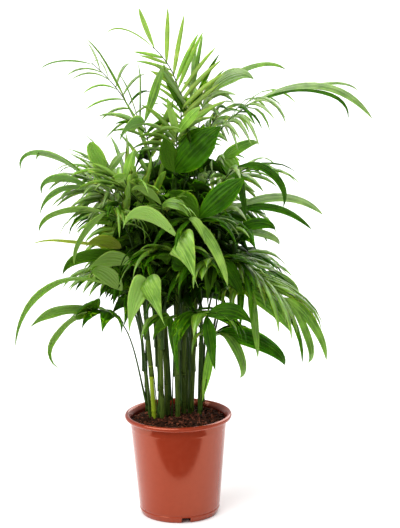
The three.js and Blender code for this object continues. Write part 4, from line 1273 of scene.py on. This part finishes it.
stalk_skin = stem_skin("leaf stalk, fresh", "#1f3410", "#3f5a20", line_mm=0.7, roughness=0.4)
sheath_skin = stem_skin("leaf sheath, drying", "#25380c", "#586c22", line_mm=1.1, roughness=0.6)
lines = [*stalks.values(), *old_stalks, *shoots]
thick = [1.0] * len(stalks) + [OLD_THICK] * len(old_stalks) + [SHOOT_THICK] * len(shoots)
points, faces, marks = gather([stalk_rows(line, n, thick[n]) for n, line in enumerate(lines)])
piece = make_piece("frond_stalks", points, faces, stalk_skin, marks)
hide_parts(*[f"frond_{name}" for name in stalks])
feet = [*(FRONDS[name] for name in stalks), *old_fronds]
sleeves = [sheath_rows(frond, line, n) for n, (frond, line) in enumerate(zip(feet, lines))]
points, faces, marks = gather(sleeves)
make_piece("leaf_sheaths", points, faces, sheath_skin, marks)

# %% [markdown]
# ## Leaf blades
# A palm leaflet is a thin lance, folded like a roof along its midrib, with parallel veins that run
# from root to tip, glossy above and matt below. A flat card with a picture on it would lose its
# fold and its edge. So each blade is a closed lens on a grid: one parameter runs from root to tip
# and one goes round the section, over the top and back underneath, for all leaves at once.

# %% Blade arrays
STRAP_TIP = 0.5
BROADER_TIP = 2.2
CURL_FROM, CURL_POWER = 0.7, 1.5
BLADE_MM = 0.45
ROOT_HALF_MM = 0.6
TIP_HALF_MM = 0.15
ROOT_FADE = 30
FOLD, FOLD_POWER = 0.3, 1.4
FOLD_GROWS = 8  # the fold and its pleats reach their full height an eighth of the way out
VEIN_PLEATS = 3
PLEAT = 0.05
WAVE = 0.1
WAVES = 1.5
EDGES_APART = 1.5  # one edge's wave runs ahead by this angle, and the other's behind


def outline(share, waist, aspect):
    """Half the width over its greatest: share^waist x (1 - share)^tip, scaled to reach 1.

    aspect is width over length, made less for blunt leaves. tip is 0.5 + 2.2 x aspect, so a narrow
    leaf is a strap and a broad one a pointed lance.
    """
    tip = STRAP_TIP + BROADER_TIP * aspect
    peak = waist / (waist + tip)
    greatest = peak**waist * (1 - peak) ** tip
    return share**waist * (1 - share) ** tip / greatest


def carried(v, start, along):
    """v carried by the smallest turn from start to along.

    It is v + a x v + a x (a x v) / (1 + start . along), where a = start x along.
    """
    a = np.cross(start, along)
    c = np.sum(start * along, axis=-1, keepdims=True)
    once = np.cross(a, v)
    return v + once + np.cross(a, once) / (1 + c)


def blades(group, rows, columns):
    """Points, faces and marks of a group of leaves, one row of the arrays for each leaf.

    The height over the blade's middle surface is a roof, plus pleats, plus a wave along the edge:
    half width x (fold x (1 - |u|^1.4) + pleat x cos(2 pi n u) + wave x u^2 sin(...)). Rows stand
    closer at both ends, because share = (1 - cos(pi t)) / 2. Over the last third the line's steps
    turn about the blade's width, more and more, which rolls the tip under.
    """
    root, bend, tip, wide = (
        np.array([leaf[key] for leaf in group])[:, None] for key in ("root", "bend", "tip", "wide")
    )
    width, twist, seed, waist, sharp, curl = (
        np.array([leaf[key] for leaf in group])[:, None, None]
        for key in ("width", "twist", "seed", "waist", "sharp", "curl")
    )
    share = 0.5 - 0.5 * np.cos(math.pi * np.linspace(0, 1, rows))
    line = bezier((root, bend, tip), share)
    along = tangent((root, bend, tip), share)
    start = along[:, :1]
    level = unit(wide - start * np.sum(wide * start, axis=-1, keepdims=True))
    across = carried(turned(level, start, twist), start, along)
    hook = curl * (np.maximum(share - CURL_FROM, 0) / (1 - CURL_FROM))[None, :, None] ** CURL_POWER
    steps = turned(np.diff(line, axis=1), across[:, 1:], hook[:, 1:])
    line = np.concatenate([line[:, :1], line[:, :1] + np.cumsum(steps, axis=1)], axis=1)
    along = turned(along, across, hook)
    above = np.cross(along, across)
    u = np.linspace(-1, 1, columns)
    ring = np.concatenate([u, u[-2:0:-1]])
    under = np.concatenate([np.zeros(columns), np.ones(columns - 2)])
    s = share[:, None]
    least = TIP_HALF_MM + (ROOT_HALF_MM - TIP_HALF_MM) * np.exp(-s * ROOT_FADE)
    length = np.linalg.norm(tip - root, axis=-1)[:, :, None]
    half = np.maximum(width / 2 * outline(s, waist, sharp * width / length), least)
    wave = np.sin(math.tau * (WAVES * s + seed) + EDGES_APART * np.sign(ring)) * ring**2
    height = FOLD * (1 - np.abs(ring) ** FOLD_POWER) + WAVE * wave
    height = height + PLEAT * np.cos(math.tau * VEIN_PLEATS * ring)
    lens = BLADE_MM * np.sqrt(1 - ring**2) * under
    rise = half * height * np.minimum(1, FOLD_GROWS * s) - lens
    points = line[:, :, None] + across[:, :, None] * (half * ring)[..., None]
    points = points + above[:, :, None] * rise[..., None]
    grain = together(half * ring, length * s, 20 * seed)
    marks = {"grain": grain.reshape(-1, 3), "under": np.broadcast_to(under, grain.shape[:3]).ravel()}
    faces = tube_faces(rows, len(ring), len(group))
    return points.reshape(-1, 3), faces, marks

# %% [markdown]
# The blade's upper face has a waxy gloss. Its veins show as fine pale lines, the midrib as a wider
# one, and the underside is paler and duller. Light shines through, so the leaf gets some of its
# colour from subsurface scattering, in which green travels furthest. Eight greens are dealt out
# leaf by leaf, from the dark ones inside the crown to the yellow-green of new growth.

# %% Leaf materials
VEIN_MM = 1.8
VEIN_STRETCH = 40
MIDRIB_MM = 0.5
PATCH_MM = 18
SCATTER_MM = 1.5
SCATTER = (0.66, 1.0, 0.2)


def leaf_skin(name, dark, light, rib, under, shine):
    """Veins as noise stretched along the blade, a pale midrib, and a paler underside."""
    material, tree, shader = new_material(
        name,
        {
            "Specular IOR Level": shine,
            "Subsurface Weight": 0.5,
            "Subsurface Scale": SCATTER_MM * MM,
            "Subsurface Radius": SCATTER,
        },
    )
    grain = add_node(tree, "Attribute", attribute_name="grain").outputs["Vector"]
    side = add_node(tree, "Attribute", attribute_name="under").outputs["Fac"]
    stretch = add_node(
        tree,
        "VectorMath",
        {0: grain, 1: (1 / VEIN_MM, 1 / (VEIN_STRETCH * VEIN_MM), 1.0)},
        operation="MULTIPLY",
    )
    veins = add_node(tree, "TexNoise", {"Vector": stretch.outputs["Vector"], "Scale": 1.0, "Detail": 2.0})
    patches = add_node(tree, "TexNoise", {"Vector": grain, "Scale": 1 / PATCH_MM, "Detail": 2.0})
    tone = add_node(tree, "Math", {0: veins.outputs["Fac"], 1: patches.outputs["Fac"]}, operation="ADD")
    contrast = add_node(tree, "MapRange", {"Value": tone.outputs[0], "From Min": 0.8, "From Max": 1.2})
    split = add_node(tree, "SeparateXYZ", {0: grain})
    off = add_node(tree, "Math", {0: split.outputs["X"]}, operation="ABSOLUTE")
    midrib = add_node(
        tree, "MapRange", {"Value": off.outputs[0], "From Min": MIDRIB_MM, "From Max": 0.0, "To Max": 0.7}
    )
    colour = linear(dark)
    layers = ((contrast.outputs["Result"], light), (midrib.outputs["Result"], rib), (side, under))
    for cover, over in layers:
        sockets = {0: cover, FIRST_COLOUR: colour, SECOND_COLOUR: linear(over)}
        colour = add_node(tree, "Mix", sockets, data_type="RGBA").outputs[MIXED_COLOUR]
    wax = add_node(tree, "MapRange", {"Value": side, "To Min": 0.36, "To Max": 0.6})
    relief = add_node(tree, "Bump", {"Height": veins.outputs["Fac"], "Distance": 0.8 * MM, "Strength": 0.8})
    gloss, normal = wax.outputs["Result"], relief.outputs["Normal"]
    feed(shader, {"Base Color": colour, "Roughness": gloss, "Normal": normal})
    return material


# the dark and light tone of the upper face, the midrib, the underside, and the gloss
GREENS = {
    # shade: painted shade, the darkest green for leaves deep inside the crown
    "shade": ("#122002", "#1e3403", "#2c440a", "#243a08", 0.03),
    "deep": ("#1e3c03", "#325c05", "#4a7010", "#3c5e0f", 0.05),
    "mature": ("#44680c", "#6a9222", "#8eae46", "#6e8e34", 0.5),
    # waxy: a real gloss, and a paler grey-green base that is partly painted sheen
    "waxy": ("#547428", "#7e9a4c", "#a2b874", "#789a4c", 0.8),
    "fresh": ("#568412", "#7eaa2e", "#a2c256", "#82a640", 0.5),
    "bright": ("#6c8a18", "#86a42c", "#a8c050", "#8ca848", 0.5),
    "golden": ("#7c9812", "#a0b228", "#c2cc52", "#9ca83a", 0.25),
    "pale": ("#56801c", "#8cb244", "#aac86c", "#88ac4c", 0.5),
}
skins = {kind: leaf_skin(f"palm leaf, {kind}", *greens) for kind, greens in GREENS.items()}

# %% Make the leaves
FORMS = (("leaflets", False, 10, 3), ("broad_leaves", True, 22, 25))  # with their rows and columns

for kind in GREENS:
    for form, broad, rows, columns in FORMS:
        group = [leaf for leaf in leaves if leaf["kind"] == kind and leaf["broad"] == broad]
        if group:
            points, faces, marks = blades(group, rows, columns)
            make_piece(f"{form}_{kind}", points, faces, skins[kind], marks)

# %% [markdown]
# ## The studio
# The plant stands on a plain pale floor under soft light: an even white sky, and two far panels as
# broad as sixty degrees, a key high in front on the left and one behind on the right that shines
# through the leaves. Low in front lies a black flag that only reflections see. It gives the glossy
# pot the dark tongue between two light sides that such a pot has in a studio.

# %% Floor, flag and sky
FLOOR_M = 30
FLAG_START_M = -0.2
FLAG_END_M = -3.0
FLAG_HALF_WIDTH_M = 3.0
FLAG_HEIGHT_M = 0.0005
SKY_STRENGTH = 0.6


def flat_sheet(name, half_width, front, back, height, material):
    """A level rectangle that belongs to the studio."""
    corners = [(-half_width, front), (half_width, front), (half_width, back), (-half_width, back)]
    mesh = bpy.data.meshes.new(name)
    mesh.from_pydata([(*corner, height) for corner in corners], [], [(0, 1, 2, 3)])
    mesh.materials.append(material)
    sheet = bpy.data.objects.new(name, mesh)
    bpy.context.scene.collection.objects.link(sheet)
    return sheet


paint = new_material("matt white paint", {"Base Color": linear("#f2f2f2"), "Roughness": 0.9})[0]
cloth = new_material("black flag cloth", {"Base Color": linear("#140d0a"), "Roughness": 1.0})[0]
flat_sheet("floor", FLOOR_M, -FLOOR_M, FLOOR_M, 0, paint)
flag = flat_sheet("flag", FLAG_HALF_WIDTH_M, FLAG_END_M, FLAG_START_M, FLAG_HEIGHT_M, cloth)
flag.visible_camera = False
flag.visible_diffuse = False
flag.visible_shadow = False

sky = bpy.data.worlds.new("studio sky")
sky.use_nodes = True
sky.node_tree.nodes["Background"].inputs["Color"].default_value = (1, 1, 1, 1)
sky.node_tree.nodes["Background"].inputs["Strength"].default_value = SKY_STRENGTH
bpy.context.scene.world = sky


# %% Lamps
def wide_sun(name, place, strength, degrees):
    """Light from a far panel that seems so many degrees wide and lies where place is from the pot."""
    light = bpy.data.lights.new(name, "SUN")
    light.energy = strength
    light.angle = math.radians(degrees)
    lamp = bpy.data.objects.new(name, light)
    lamp.location = place
    lamp.rotation_euler = (-Vector(place)).to_track_quat("-Z", "Y").to_euler()
    bpy.context.scene.collection.objects.link(lamp)


wide_sun("key", (-1.6, -1.2, 2.6), 3.4, 60)
wide_sun("back", (1.2, 2.2, 2.4), 2.4, 60)

# %% [markdown]
# ## The camera
# It stands three metres in front and a little over the crown's middle, looks slightly down and is
# rolled by less than a degree. Its lens is long, so the canes stand nearly parallel.

# %% Camera
FRAME_HEIGHT_PX = 528
FOCAL_PX = 1974
SENSOR_MM = 24
CAMERA_PLACE = (0, -3.0, 1.078)
DOWN = math.radians(12.67)
YAW = math.radians(0.716)
ROLL = math.radians(0.75)

lens = bpy.data.cameras.new("camera")
lens.sensor_fit = "VERTICAL"
lens.sensor_height = SENSOR_MM
lens.lens = FOCAL_PX / FRAME_HEIGHT_PX * SENSOR_MM
camera = bpy.data.objects.new("camera", lens)
forward = np.array([math.sin(YAW) * math.cos(DOWN), math.cos(YAW) * math.cos(DOWN), -math.sin(DOWN)])
right = unit(np.cross(forward, UP))
above = np.cross(right, forward)
right, above = (
    right * math.cos(ROLL) - above * math.sin(ROLL),
    above * math.cos(ROLL) + right * math.sin(ROLL),
)
turn = Matrix([right.tolist(), above.tolist(), (-forward).tolist()]).transposed().to_4x4()
camera.matrix_world = Matrix.Translation(CAMERA_PLACE) @ turn
bpy.context.scene.collection.objects.link(camera)
bpy.context.scene.camera = camera
bpy.context.scene.view_settings.view_transform = "Standard"
